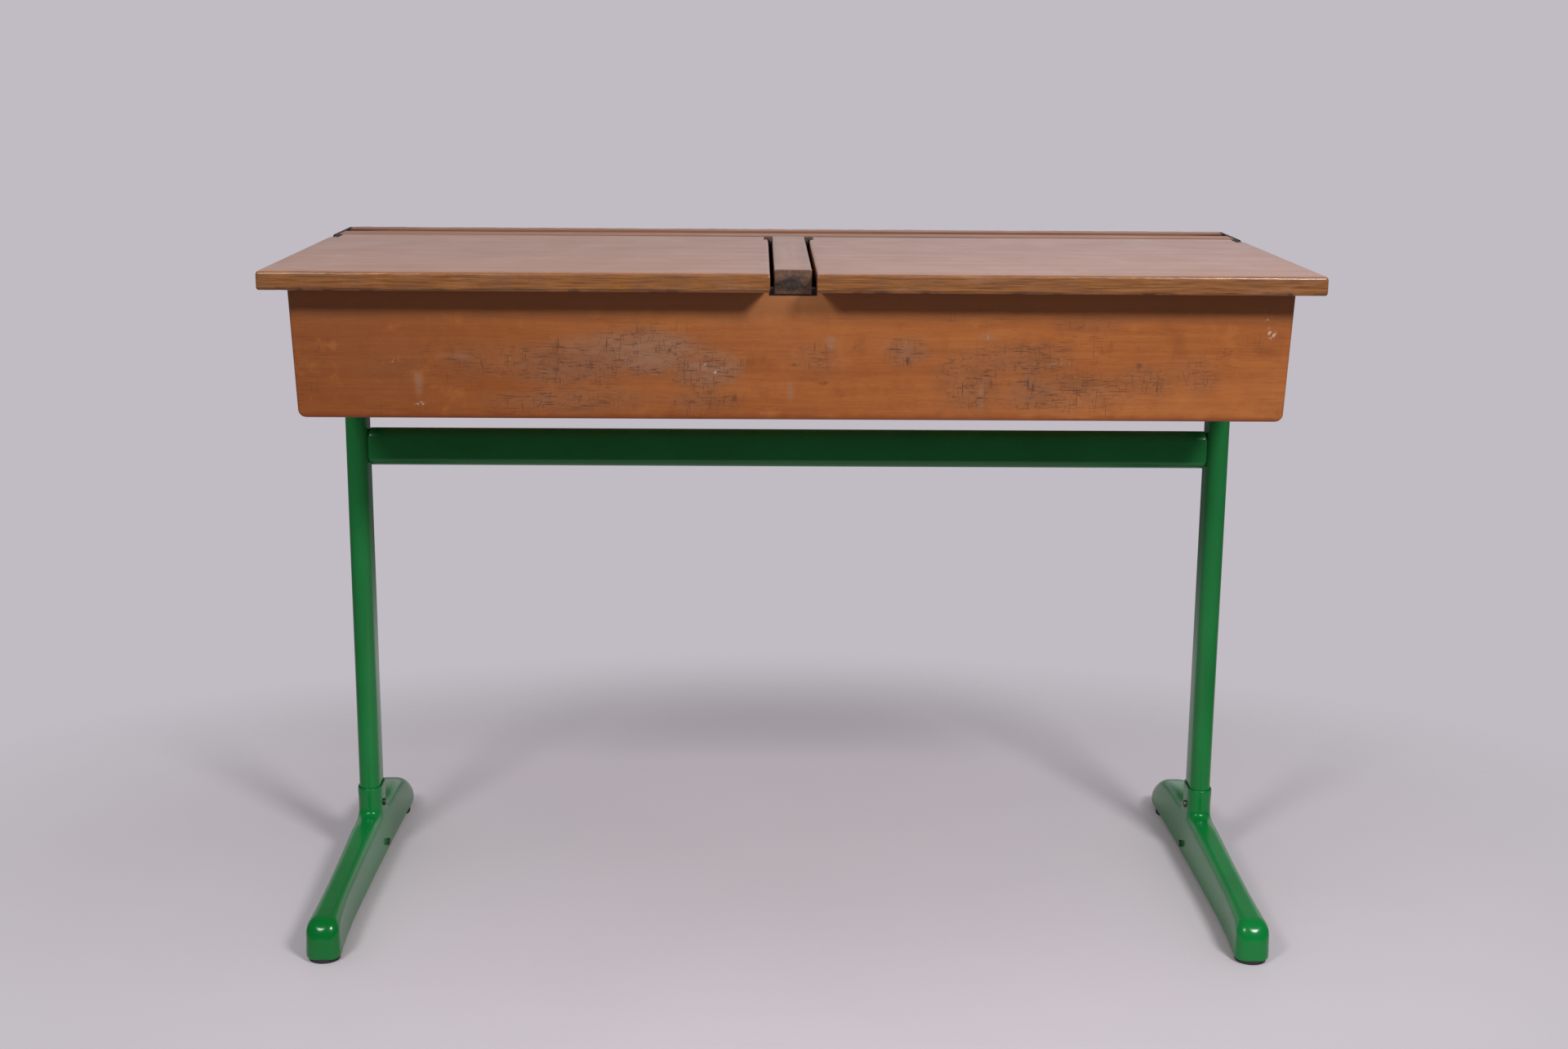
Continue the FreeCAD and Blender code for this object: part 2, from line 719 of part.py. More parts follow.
# Nodes
for side, name in ((-1, "left"), (1, "right")):
    export("lid_" + name, on_side(lid, side))
    export("lid_leaf_outer_" + name, on_side(lid_leaf_outer, side))
    export("lid_leaf_inner_" + name, on_side(lid_leaf_inner, side))
    export("lid_leaf_screws_" + name, Part.makeCompound([on_side(s, side) for s in lid_screws]))
    export("rail_leaf_" + name, on_side(fixed_rail_leaf, side))
    export("bar_leaf_" + name, on_side(fixed_bar_leaf, side))
    export("hinge_pins_" + name, Part.makeCompound([on_side(s, side) for s in (outer_pin, inner_pin)]))
    export("leg_" + name, on_side(leg, side))
    export("bearer_" + name, on_side(bearer, side))
    export("foot_" + name, on_side(foot, side))
    export("glide_front_" + name, on_side(glide(front_glide_y), side))
    export("glide_rear_" + name, on_side(glide(rear_glide_y), side))
export("end_panel_left", end_left)
export("end_panel_right", end_right)
export("centre_bar", bar)
export("rear_rail", rail)
export("front_panel", front)
export("back_panel", back)
export("centre_partition", partition)
export("floor_board", floor_board)
export("top_dowels", Part.makeCompound(dowels))
export("fixed_leaf_screws", Part.makeCompound(fixed_screws + [mirrored(s) for s in fixed_screws]))
export("bearer_screws", Part.makeCompound(box_screws + [mirrored(s) for s in box_screws]))
export("cross_rail", cross_tube())
export("socket_screws", Part.makeCompound([socket_screw, mirrored(socket_screw)]))
export("base_screws", Part.makeCompound([base_screw, mirrored(base_screw)]))
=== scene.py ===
import math

import bmesh
import bpy
import numpy as np
from mathutils import Matrix, Vector


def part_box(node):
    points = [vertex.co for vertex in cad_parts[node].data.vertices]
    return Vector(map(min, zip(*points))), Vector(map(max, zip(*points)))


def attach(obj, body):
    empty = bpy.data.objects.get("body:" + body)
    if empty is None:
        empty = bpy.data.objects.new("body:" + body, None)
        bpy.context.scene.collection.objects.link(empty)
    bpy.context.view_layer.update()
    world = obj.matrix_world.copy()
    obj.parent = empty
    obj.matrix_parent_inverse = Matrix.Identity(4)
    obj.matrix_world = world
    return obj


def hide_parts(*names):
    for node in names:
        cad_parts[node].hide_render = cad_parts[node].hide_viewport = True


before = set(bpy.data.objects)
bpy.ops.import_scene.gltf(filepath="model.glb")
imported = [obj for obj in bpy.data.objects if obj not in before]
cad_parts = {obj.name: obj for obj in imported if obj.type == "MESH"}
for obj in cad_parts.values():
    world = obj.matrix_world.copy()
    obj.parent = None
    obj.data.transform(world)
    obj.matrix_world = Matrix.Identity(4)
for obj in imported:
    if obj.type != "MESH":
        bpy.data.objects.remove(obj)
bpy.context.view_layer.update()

mm = 0.001
print("frame loaded:", len(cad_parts), "nodes")


def screenColour(red, green, blue):
    # A colour written as screen values from 0 to 255, turned into the linear values that shaders take.
    share = np.array([red, green, blue]) / 255
    return tuple(np.where(share <= 0.04045, share / 12.92, ((share + 0.055) / 1.055) ** 2.4))


def nodeSpan(node):
    # Lowest and highest corner of a CAD node, in millimetres.
    low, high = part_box(node)
    return np.array(low) / mm, np.array(high) / mm


def quarter(distance, radius):
    # How far a rounded edge is pulled in at a distance from the end: radius minus the quarter circle's height.
    short = np.clip(radius - distance, 0, radius)
    return radius - np.sqrt(radius ** 2 - short ** 2)


def ripple(values, seed, shortest, longest, count=7):
    # Smooth noise between about -1 and 1: a sum of sines of seeded wavelengths and phases.
    dice = np.random.default_rng(seed)
    total = np.zeros_like(values, dtype=float)
    for length in np.geomspace(longest, shortest, count):
        total += dice.uniform(0.6, 1.0) * np.sin(2 * np.pi * values / length + dice.uniform(0, 2 * np.pi))
    return total / count ** 0.5


def ease(value, low, high):
    # 0 below low, 1 above high, and a smooth step between them.
    share = np.clip((value - low) / (high - low), 0, 1)
    return share * share * (3 - 2 * share)


def spots(a, b, table):
    # The strongest of several soft ellipses at each point: 1 in an ellipse's middle, 0 past its rim.
    best = np.zeros_like(a, dtype=float)
    for middleA, middleB, reachA, reachB, strength in table:
        away = np.sqrt(((a - middleA) / reachA) ** 2 + ((b - middleB) / reachB) ** 2)
        best = np.maximum(best, strength * (1 - ease(away, 0.25, 1.0)))
    return best


def ringFaces(ringCount, stepCount):
    # Quads between neighbouring points of a closed ring and neighbouring steps along the path.
    i, j = np.meshgrid(np.arange(ringCount), np.arange(stepCount - 1), indexing="ij")
    here, beside = i * stepCount + j, (i + 1) % ringCount * stepCount + j
    return np.stack([here, beside, beside + 1, here + 1], -1).reshape(-1, 4)


def closedTube(ringCount, stepCount):
    # The side quads of a tube, and one flat many-sided face over each end.
    ends = [list(np.arange(ringCount) * stepCount + step) for step in (0, stepCount - 1)]
    return ringFaces(ringCount, stepCount).tolist() + ends


def ladderFaces(half, stepCount, step):
    # End cap of a ring made of two paired lines: quads between the first line and the second.
    i = np.arange(half - 1)
    other = 2 * half - 1
    return np.stack([i, i + 1, other - i - 1, other - i], -1) * stepCount + step


def grid(x, y, z):
    # Three arrays, stretched to one shape, as a list of points.
    return np.stack(np.broadcast_arrays(x, y, z), -1).reshape(-1, 3)


meshRules = {"mergeDistance": 0.00001, "sharpAngle": 40}


def addPiece(name, points, faces, body, material, replaced, values=None):
    # Puts a numpy surface in millimetres into a mesh, faces outwards, rides it on its body and names its
    # finish. values are attributes of the points, such as how worn each one is.
    mesh = bpy.data.meshes.new(name)
    mesh.from_pydata(points * mm, [], faces)
    for key, array in (values or {}).items():
        layer = mesh.attributes.new(key, "FLOAT", "POINT")
        layer.data.foreach_set("value", np.ascontiguousarray(array, dtype=np.float32).ravel())
    shell = bmesh.new()
    shell.from_mesh(mesh)
    bmesh.ops.remove_doubles(shell, verts=shell.verts, dist=meshRules["mergeDistance"])
    bmesh.ops.dissolve_degenerate(shell, edges=shell.edges, dist=meshRules["mergeDistance"])
    bmesh.ops.recalc_face_normals(shell, faces=shell.faces)
    shell.to_mesh(mesh)
    shell.free()
    mesh.shade_smooth()
    mesh.set_sharp_from_angle(angle=math.radians(meshRules["sharpAngle"]))
    piece = bpy.data.objects.new(name, mesh)
    bpy.context.scene.collection.objects.link(piece)
    mesh.materials.append(material)
    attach(piece, body)
    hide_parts(*replaced)
    print("piece", name, len(mesh.polygons), "faces")
    return piece


class Wire:
    # One socket of a node tree, or a tree to start from. Python's operators on a socket add Math nodes.
    def __init__(self, tree, socket=None):
        self.tree, self.socket = tree, socket

    def node(self, kind, settings=None, sockets=None, out=0):
        made = self.tree.nodes.new(kind)
        for key, value in (settings or {}).items():
            if key != "stops":
                setattr(made, key, value)
                continue
            stops = made.color_ramp.elements
            while len(stops) < len(value):
                stops.new(1)
            for stop, (place, colour) in zip(stops, value):
                stop.position = place
                stop.color = (*colour, 1)
        for key, value in (sockets or {}).items():
            self.feed(made.inputs[key], value)
        return Wire(self.tree, made.outputs[out])

    def feed(self, socket, value):
        if isinstance(value, Wire):
            self.tree.links.new(value.socket, socket)
        elif isinstance(value, tuple) and len(value) == 3 and socket.type == "RGBA":
            socket.default_value = (*value, 1)
        else:
            socket.default_value = value

    def maths(self, operation, *others):
        return self.node("ShaderNodeMath", {"operation": operation}, dict(enumerate((self, *others))))

    def __add__(self, other): return self.maths("ADD", other)
    def __radd__(self, other): return self.maths("ADD", other)
    def __mul__(self, other): return self.maths("MULTIPLY", other)
    def __rmul__(self, other): return self.maths("MULTIPLY", other)
    def __sub__(self, other): return self.maths("SUBTRACT", other)
    def __rsub__(self, other): return self.maths("MULTIPLY", -1) + other
    def __pow__(self, other): return self.maths("POWER", other)
    def __abs__(self): return self.maths("ABSOLUTE")

    def most(self, other): return self.maths("MAXIMUM", other)

    def step(self, low, high):
        # Smooth step from 0 at low to 1 at high.
        sockets = {"Value": self, "From Min": low, "From Max": high, "To Min": 0.0, "To Max": 1.0}
        return self.node("ShaderNodeMapRange", {"interpolation_type": "SMOOTHSTEP"}, sockets)

    def mix(self, first, second):
        # This wire is the factor between two colours.
        return self.node("ShaderNodeMix", {"data_type": "RGBA"}, {0: self, 6: first, 7: second}, 2)

    def place(self, scale, shift=(0, 0, 0), turn=(0, 0, 0)):
        # This wire is a position: stretched, shifted and turned.
        sockets = {"Vector": self, "Location": shift, "Rotation": turn, "Scale": scale}
        return self.node("ShaderNodeMapping", {}, sockets)

    def noise(self, scale, detail=2.0, rough=0.5, warp=0.0):
        sockets = {"Vector": self, "Scale": scale, "Detail": detail, "Roughness": rough, "Distortion": warp}
        return self.node("ShaderNodeTexNoise", {}, sockets)

    def cracks(self, scale):
        # Distance to the edges of a field of cells.
        sockets = {"Vector": self, "Scale": scale, "Detail": 0.0}
        return self.node("ShaderNodeTexVoronoi", {"feature": "DISTANCE_TO_EDGE"}, sockets)

    def axis(self, which):
        return self.node("ShaderNodeSeparateXYZ", {}, {0: self}, which)

    def length(self):
        return self.node("ShaderNodeVectorMath", {"operation": "LENGTH"}, {0: self}, 1)

    def attribute(self, name):
        return self.node("ShaderNodeAttribute", {"attribute_name": name}, {}, 2)

    def bump(self, strength, distance, under=None):
        sockets = {"Height": self, "Strength": strength, "Distance": distance}
        if under:
            sockets["Normal"] = under
        return self.node("ShaderNodeBump", {}, sockets)


def newMaterial(name):
    # A material, its Principled shader, and the Object coordinates that its pattern reads.
    material = bpy.data.materials.new(name)
    material.use_nodes = True
    tree = material.node_tree
    return material, tree.nodes["Principled BSDF"], Wire(tree).node("ShaderNodeTexCoord", {}, {}, 3)


def finish(start, shader, colour, rough, normal=None, metal=0.0, coat=0.0, coatRough=0.05, specular=0.5):
    # Colour, roughness and relief come as wires; the rest is the same all over and stands on the shader.
    start.feed(shader.inputs["Base Color"], colour)
    start.feed(shader.inputs["Roughness"], rough)
    if normal:
        start.feed(shader.inputs["Normal"], normal)
    plain = {"Metallic": metal, "Coat Weight": coat, "Coat Roughness": coatRough, "Specular IOR Level": specular}
    for socket, value in plain.items():
        shader.inputs[socket].default_value = value


def woodMaterial(name, look):
    # Long fibres: noise stretched along the grain gives bands, lines and pores of three sizes.
    material, shader, place = newMaterial(name)
    stretch = [1.0, 1.0, 1.0]
    stretch["xyz".index(look["grain"])] = look["stretch"]
    along = place.place(tuple(stretch), look.get("shift", (0, 0, 0)))
    bands = along.noise(look["bandScale"], 3, 0.55, 0.35)
    lines = along.noise(look["lineScale"], 4, 0.6, 0.15)
    fine = along.place((1, 1, 1), (3, 7, 2)).noise(look["lineScale"] * 4.5, 2, 0.6)
    pores = along.place((3, 1, 1) if look["grain"] == "x" else (1, 3, 1)).noise(look["poreScale"], 1, 0.4)
    tone = bands * 0.45 + lines * 0.35 + fine * 0.2
    colour = place.node("ShaderNodeValToRGB", {"stops": look["ramp"]}, {0: tone.step(0.32, 0.68)})
    poreMask = pores.step(0.62, 0.74) * look["poreDepth"]
    colour = poreMask.mix(colour, look["poreColour"])
    patches = place.noise(look["patchScale"], 4, 0.6, 0.4)
    colour = (patches.step(0.46, 0.72) * look["patchDepth"]).mix(colour, look["patchColour"])
    cloud = place.place((1, 1, 1), (5, 1, 8)).noise(look["patchScale"] * 0.35, 2, 0.5)
    colour = (cloud.step(0.4, 0.65) * look["cloudDepth"]).mix(colour, look["cloudColour"])
    rough = look["rough"] + (patches - 0.5) * 0.2 + (fine - 0.5) * 0.1
    height = lines * 0.35 + fine * 0.35 - poreMask * 0.6
    if "marks" in look:
        colour, rough, height = look["marks"](place, colour, rough, height)
    waves = place.noise(7, 1, 0.5).bump(0.12, 0.0008)
    normal = height.bump(look["relief"], 0.0004, waves)
    finish(place, shader, colour, rough, normal, coat=look["coat"], coatRough=look["coatRough"],
           specular=look["specular"])
    return material


lidLook = {
    "grain": "x", "stretch": 0.045, "bandScale": 42, "lineScale": 150, "poreScale": 900,
    "ramp": [(0.0, screenColour(152, 98, 63)), (0.45, screenColour(170, 112, 73)), (1.0, screenColour(182, 125, 84))],
    "poreDepth": 0.3, "poreColour": screenColour(104, 66, 42),
    "patchScale": 14, "patchDepth": 0.3, "patchColour": screenColour(158, 120, 92),
    "cloudDepth": 0.35, "cloudColour": screenColour(168, 112, 70),
    "rough": 0.34, "relief": 0.14, "coat": 0.3, "coatRough": 0.18, "specular": 0.42,
}


def lidMarks(place, colour, rough, height):
    # The nose keeps its golden varnish between dark streaks; chips show bare wood; grime lies along the rim.
    # An attribute that a piece doesn't have, such as the rail's nose, reads as 0.
    nose = place.attribute("nose")
    chip = place.attribute("chip")
    rim = place.attribute("rim")
    streaks = place.place((0.035, 1, 1), (2, 0, 0)).noise(640, 4, 0.65)
    golden = streaks.step(0.3, 0.7).mix(screenColour(104, 64, 34), screenColour(152, 99, 56))
    wornNose = place.place((0.25, 1, 1)).noise(60, 4, 0.65).step(0.5, 0.72)
    golden = (wornNose * 0.5).mix(golden, screenColour(156, 116, 88))
    amber = place.place((0.5, 1, 1), (7, 0, 0)).noise(36, 3, 0.6).step(0.58, 0.7)
    golden = (amber * 0.4).mix(golden, screenColour(158, 98, 38))
    specks = place.place((0.4, 1, 1), (0, 3, 1)).noise(520, 2, 0.6).step(0.64, 0.72)
    golden = (specks * 0.5).mix(golden, screenColour(74, 44, 26))
    seam = 1 - abs(place.axis(2) - 0.7032).step(0.0004, 0.0014)
    golden = (seam * 0.55 * place.noise(22, 2, 0.5).step(0.35, 0.6)).mix(golden, screenColour(58, 36, 24))
    colour = nose.mix(colour, golden)
    grime = rim * place.noise(30, 4, 0.6).step(0.4, 0.7)
    colour = (grime * 0.35).mix(colour, screenColour(112, 80, 62))
    colour = chip.step(0.15, 0.6).mix(colour, screenColour(104, 66, 40))
    scratches = place.place((0.4, 1.4, 1), (0, 0, 0), (0, 0, 0.5)).cracks(34).step(0.012, 0.002)
    scratches = scratches * place.noise(7, 2, 0.5).step(0.5, 0.62)
    colour = (scratches * 0.35).mix(colour, screenColour(118, 88, 74))
    nicks = place.place((1, 0.5, 1), (4, 4, 4)).noise(120, 2, 0.5).step(0.72, 0.8)
    nicks = nicks * place.noise(8, 1, 0.5).step(0.48, 0.6)
    nicks = nicks.most(place.attribute("dark") * place.place((0.6, 1, 1)).noise(150, 3, 0.6).step(0.35, 0.6))
    colour = (nicks * (1 - nose) * 0.6).mix(colour, screenColour(92, 66, 58))
    rough = rough - nose * 0.06 + chip * 0.3
    height = height - scratches * 0.7 - nicks * 0.8
    return colour, rough, height


def railMarks(place, colour, rough, height):
    # The pen groove is painted darker brown, most on its far wall, and darkest towards its ends.
    groove = place.attribute("groove")
    colour, rough, height = lidMarks(place, colour, rough, height)
    stain = place.place((0.2, 1, 1)).noise(30, 3, 0.6).step(0.25, 0.6)
    ends = abs(place.axis(0)).step(0.46, 0.525)
    colour = (groove * (0.62 + stain * 0.3)).mix(colour, screenColour(122, 82, 60))
    colour = (groove * ends.most(stain * 0.35)).mix(colour, screenColour(52, 34, 30))
    return colour, rough + groove * 0.1, height


def barMarks(place, colour, rough, height):
    # The bar's front end is end grain: worn brown round the rim, with a black stain soaked into its middle.
    # The position is scaled so that the end's half width and half height are both about 1.
    colour, rough, height = lidMarks(place, colour, rough, height)
    end = place.attribute("end")
    scaled = place.place((58, 0, 95), (0.15, 0, -67.1))
    stain = 1 - (scaled.length() + (place.noise(110, 3, 0.6) - 0.5) * 1.6).step(0.45, 1.05)
    grain = place.noise(260, 4, 0.7).step(0.35, 0.65)
    worn = grain.mix(screenColour(78, 52, 38), screenColour(103, 73, 57))
    dark = (stain * 0.9).mix(worn, grain.mix(screenColour(30, 24, 22), screenColour(57, 45, 41)))
    return end.mix(colour, dark), rough + end * 0.15, height - end * grain * 0.5


lidLook["marks"] = lidMarks

panelLook = {
    "grain": "x", "stretch": 0.05, "bandScale": 30, "lineScale": 150, "poreScale": 900, "shift": (2, 0, 3),
    "ramp": [(0.0, screenColour(140, 77, 34)), (0.5, screenColour(160, 92, 44)), (1.0, screenColour(174, 106, 54))],
    "poreDepth": 0.3, "poreColour": screenColour(104, 54, 27),
    "patchScale": 9, "patchDepth": 0.18, "patchColour": screenColour(134, 84, 54),
    "cloudDepth": 0.3, "cloudColour": screenColour(156, 88, 40),
    "rough": 0.4, "relief": 0.22, "coat": 0.15, "coatRough": 0.25, "specular": 0.4,
}


def panelMarks(place, colour, rough, height):
    # Crazed varnish where knees and chairs rub: fine dark dashes and cracks, beige and grey scuffs, pale flecks.
    craze = place.attribute("craze")
    scuff = place.attribute("scuff")
    dark = place.attribute("dark")
    foot = place.attribute("foot")
    fleck = place.attribute("fleck")
    # Darker and redder towards the left end: partly the board's own tone, partly painted shade for the weaker light
    # there.
    drift = place.axis(0).step(-0.6, 0.35)
    colour = ((1 - drift) * 0.58).mix(colour, screenColour(112, 56, 22))
    mottle = place.noise(34, 5, 0.65)
    colour = (mottle.step(0.5, 0.72) * 0.4).mix(colour, screenColour(120, 66, 34))
    colour = ((1 - mottle.step(0.3, 0.46)) * 0.35).mix(colour, screenColour(176, 106, 52))
    level = place.place((0.07, 1, 1), (1, 2, 3)).noise(760, 2, 0.5).step(0.59, 0.65)
    upright = place.place((1, 1, 0.07), (4, 2, 3)).noise(700, 2, 0.5).step(0.61, 0.67)
    slanting = place.place((0.1, 1, 1), (9, 2, 3), (0, 0.7, 0)).noise(640, 1, 0.5).step(0.65, 0.71)
    leaning = place.place((0.1, 1, 1), (2, 9, 3), (0, -1.0, 0)).noise(600, 1, 0.5).step(0.66, 0.72)
    netting = place.place((1, 1, 1), (1, 5, 2)).cracks(120).step(0.045, 0.012)
    broken = place.noise(70, 3, 0.6).step(0.37, 0.52)
    rubbed = craze * (0.45 + place.noise(15, 3, 0.6).step(0.35, 0.6) * 0.75)
    hatch = level.most(upright * 0.9).most(slanting * 0.7).most(leaning * 0.6) * broken
    hatch = hatch.most(netting * place.noise(110, 2, 0.5).step(0.5, 0.62) * 0.8) * rubbed.step(0.03, 0.65)
    stray = level.most(upright) * place.place((1, 1, 1), (3, 0, 5)).noise(14, 2, 0.5).step(0.5, 0.64)
    worn = place.place((0.6, 1, 1), (2, 2, 2)).noise(30, 4, 0.65)
    colour = (rubbed * worn.step(0.34, 0.54) * 0.7).mix(colour, screenColour(132, 86, 57))
    colour = (craze * (1 - worn.step(0.36, 0.5)) * 0.5).mix(colour, screenColour(104, 68, 46))
    streaky = place.place((0.35, 1, 1)).noise(130, 4, 0.7).step(0.3, 0.6)
    colour = (scuff * streaky * 0.7).mix(colour, screenColour(146, 110, 86))
    colour = (hatch.most(stray * 0.6) * 0.7).mix(colour, screenColour(72, 41, 26))
    colour = (dark * place.noise(120, 3, 0.6).step(0.3, 0.6)).mix(colour, screenColour(62, 40, 32))
    colour = (foot * 0.55).mix(colour, screenColour(108, 46, 22))
    pale = fleck * place.noise(360, 2, 0.5).step(0.5, 0.6)
    colour = pale.mix(colour, screenColour(222, 208, 196))
    # Painted light: from just under the lids' shadow up to the top edge, the panel is painted paler to lift the
    # shadow the lids cast there.
    under = place.axis(2).step(0.66, 0.69)
    colour = (under * 0.6).mix(colour, screenColour(188, 124, 76))
    # Painted shadow: a near-black patch on the panel behind the centre bar, from just under the bar up to the top
    # edge.
    paintedShadowBehindBar = (1 - abs(place.axis(0)).step(0.0235, 0.0255)) * place.axis(2).step(0.6930, 0.6942)
    colour = paintedShadowBehindBar.mix(colour, screenColour(20, 12, 9))
    rough = rough + scuff * 0.08 + craze * 0.08 + place.axis(2).step(0.6985, 0.7) * 0.5
    height = height - hatch * 0.7
    return colour, rough, height


panelLook["marks"] = panelMarks

lidWood = woodMaterial("lid wood", lidLook)
railRamp = [(0.0, screenColour(123, 72, 41)), (0.45, screenColour(145, 88, 50)), (1.0, screenColour(163, 103, 61))]
railWood = woodMaterial("rail wood", dict(lidLook, marks=railMarks, shift=(5, 3, 1), patchDepth=0.4, coat=0.04,
                                          specular=0.32, ramp=railRamp))
barRamp = [(0.0, screenColour(143, 95, 62)), (0.45, screenColour(160, 109, 72)), (1.0, screenColour(172, 121, 83))]
barWood = woodMaterial("bar wood", dict(lidLook, marks=barMarks, grain="y", shift=(1, 5, 2), patchDepth=0.45,
                                        ramp=barRamp))
panelWood = woodMaterial("panel wood", panelLook)
plainPanel = {key: value for key, value in panelLook.items() if key != "marks"}
endWood = woodMaterial("end wood", dict(plainPanel, grain="y", shift=(3, 0, 1)))
backWood = woodMaterial("back wood", dict(plainPanel, shift=(3, 5, 1)))
innerWood = woodMaterial("inner wood", dict(plainPanel, grain="y", coat=0.0, rough=0.6, poreDepth=0.4,
    ramp=[(0.0, screenColour(150, 112, 76)), (0.5, screenColour(178, 140, 100)), (1.0, screenColour(196, 160, 120))],
    cloudColour=screenColour(168, 132, 96), patchColour=screenColour(140, 112, 86)))
print("woods made")


def enamelMaterial():
    # Brushed-on gloss: a slow drift of tone, thin brush ripples, a shallow orange peel and a little dust.
    material, shader, place = newMaterial("green enamel")
    drift = place.noise(6, 3, 0.5)
    colour = drift.step(0.3, 0.7).mix(screenColour(3, 103, 40), screenColour(8, 121, 54))
    # Higher up, the tubes are painted paler and greyer than the castings: a painted sheen.
    colour = (place.axis(2).step(0.09, 0.3) * 0.45).mix(colour, screenColour(50, 116, 68))
    dust = place.noise(420, 2, 0.5).step(0.7, 0.78) * place.noise(12, 2, 0.5).step(0.5, 0.7)
    colour = (dust * 0.2).mix(colour, screenColour(70, 120, 84))
    peel = place.noise(110, 2, 0.5) * 0.6 + place.place((1, 1, 0.15)).noise(320, 2, 0.5) * 0.4
    rough = 0.16 + drift * 0.1
    finish(place, shader, colour, rough, peel.bump(0.12, 0.0006), coat=0.05, coatRough=0.05, specular=0.34)
    return material


def metalMaterial(name, dark, light, rough):
    # Handled metal: cloudy tarnish over fine scratches.
    material, shader, place = newMaterial(name)
    cloud = place.noise(60, 4, 0.6)
    scratch = place.place((1, 0.1, 1)).noise(1200, 3, 0.6)
    colour = (cloud * 0.7 + scratch * 0.3).step(0.3, 0.7).mix(dark, light)
    finish(place, shader, colour, rough + cloud * 0.2, scratch.bump(0.2, 0.0002), metal=0.85)
    return material


def rubberMaterial():
    # Dull black rubber with a fine grain and a little dust.
    material, shader, place = newMaterial("black rubber")
    grain = place.noise(700, 3, 0.6)
    colour = place.noise(60, 3, 0.6).step(0.4, 0.7).mix(screenColour(22, 22, 23), screenColour(48, 46, 46))
    finish(place, shader, colour, 0.6 + grain * 0.25, grain.bump(0.3, 0.0003))
    return material


enamel = enamelMaterial()
darkSteel = metalMaterial("dark steel", screenColour(22, 18, 19), screenColour(52, 45, 44), 0.42)
screwSteel = metalMaterial("screw steel", screenColour(58, 58, 52), screenColour(104, 102, 94), 0.38)
rubber = rubberMaterial()

# The first word that stands in a CAD node's name gives its finish. What is left is enamelled.
nodeFinish = {
    "screw": screwSteel, "leaf": darkSteel, "hinge_pins": darkSteel, "glide": rubber, "end_panel": endWood,
    "partition": innerWood, "floor_board": innerWood, "dowels": innerWood, "": enamel,
}
for nodeName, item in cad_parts.items():
    nodeMaterial = next(material for word, material in nodeFinish.items() if word in nodeName)
    if not item.material_slots:
        item.data.materials.append(nodeMaterial)
    for holder in item.material_slots:
        holder.material = nodeMaterial
print("CAD nodes finished")


def carryBoard(top, under, low, high, fade, pitch, pull):
    # A closed section (its top line and its under line, paired) carried along a board's length.
    # Each section point runs from its low limit to its high one; near the ends the columns stand
    # closer, and pull(side, depth, fromLow, fromHigh) draws the section in there.
    section = np.vstack([top, under[::-1]])
    low, high = (np.concatenate([ends, ends[::-1]])[:, None] for ends in (low, high))
    near = np.concatenate([[0.0, 0.12, 0.35, 0.7, 1.2, 1.8, 2.5, 3.3, 4.2], np.arange(5.2, fade, 1.3)])
    middle = np.linspace(0, 1, 1 + max(2, int((high.max() - low.min() - 2 * fade) / pitch)))
    between = low + fade + (high - low - 2 * fade) * middle
    along = np.hstack([low + near, between, high - near[::-1]])
    steps = along.shape[1]
    fromLow = np.full(steps, 1e3)       # far from an end, nothing is drawn in
    fromHigh = fromLow.copy()
    fromLow[:len(near)], fromHigh[-len(near):] = near, near[::-1]
    side, depth = pull(*(np.repeat(column[:, None], steps, 1) for column in section.T), fromLow, fromHigh)
    ends = [ladderFaces(len(top), steps, step) for step in (0, steps - 1)]
    return along, side, depth, np.vstack([ringFaces(len(section), steps), *ends])


lidShape = {
    "noseUpper": 2.8, "noseLower": 2.5, "cornerRadius": 3.0, "pivotDepth": 8.0, "underRadius": 11.0,
    "notchFront": 134.1, "outerNotch": 9.5, "innerNotch": 4.2, "flatPitch": 7.0, "lengthPitch": 2.2,
    "chipCount": 9, "chipDepth": 1.1, "chipReach": (3, 14), "chipSpread": 2.6, "rimReach": 26,
    "endFade": 10, "wear": 0.16, "wearReach": 4,
    # Middle across, middle deep, reach across, reach deep, strength: read off the photograph.
    "dark": [(401, 86, 7, 3, 0.7), (459, 61, 9, 8, 0.9), (501, 112, 8, 4, 0.7), (87, 38, 26, 3, 0.6),
             (118, -6, 30, 3, 0.6), (-90, 94, 5, 3, 0.5), (-176, -160, 6, 4, 0.4), (-282, -109, 5, 4, 0.4)],
}


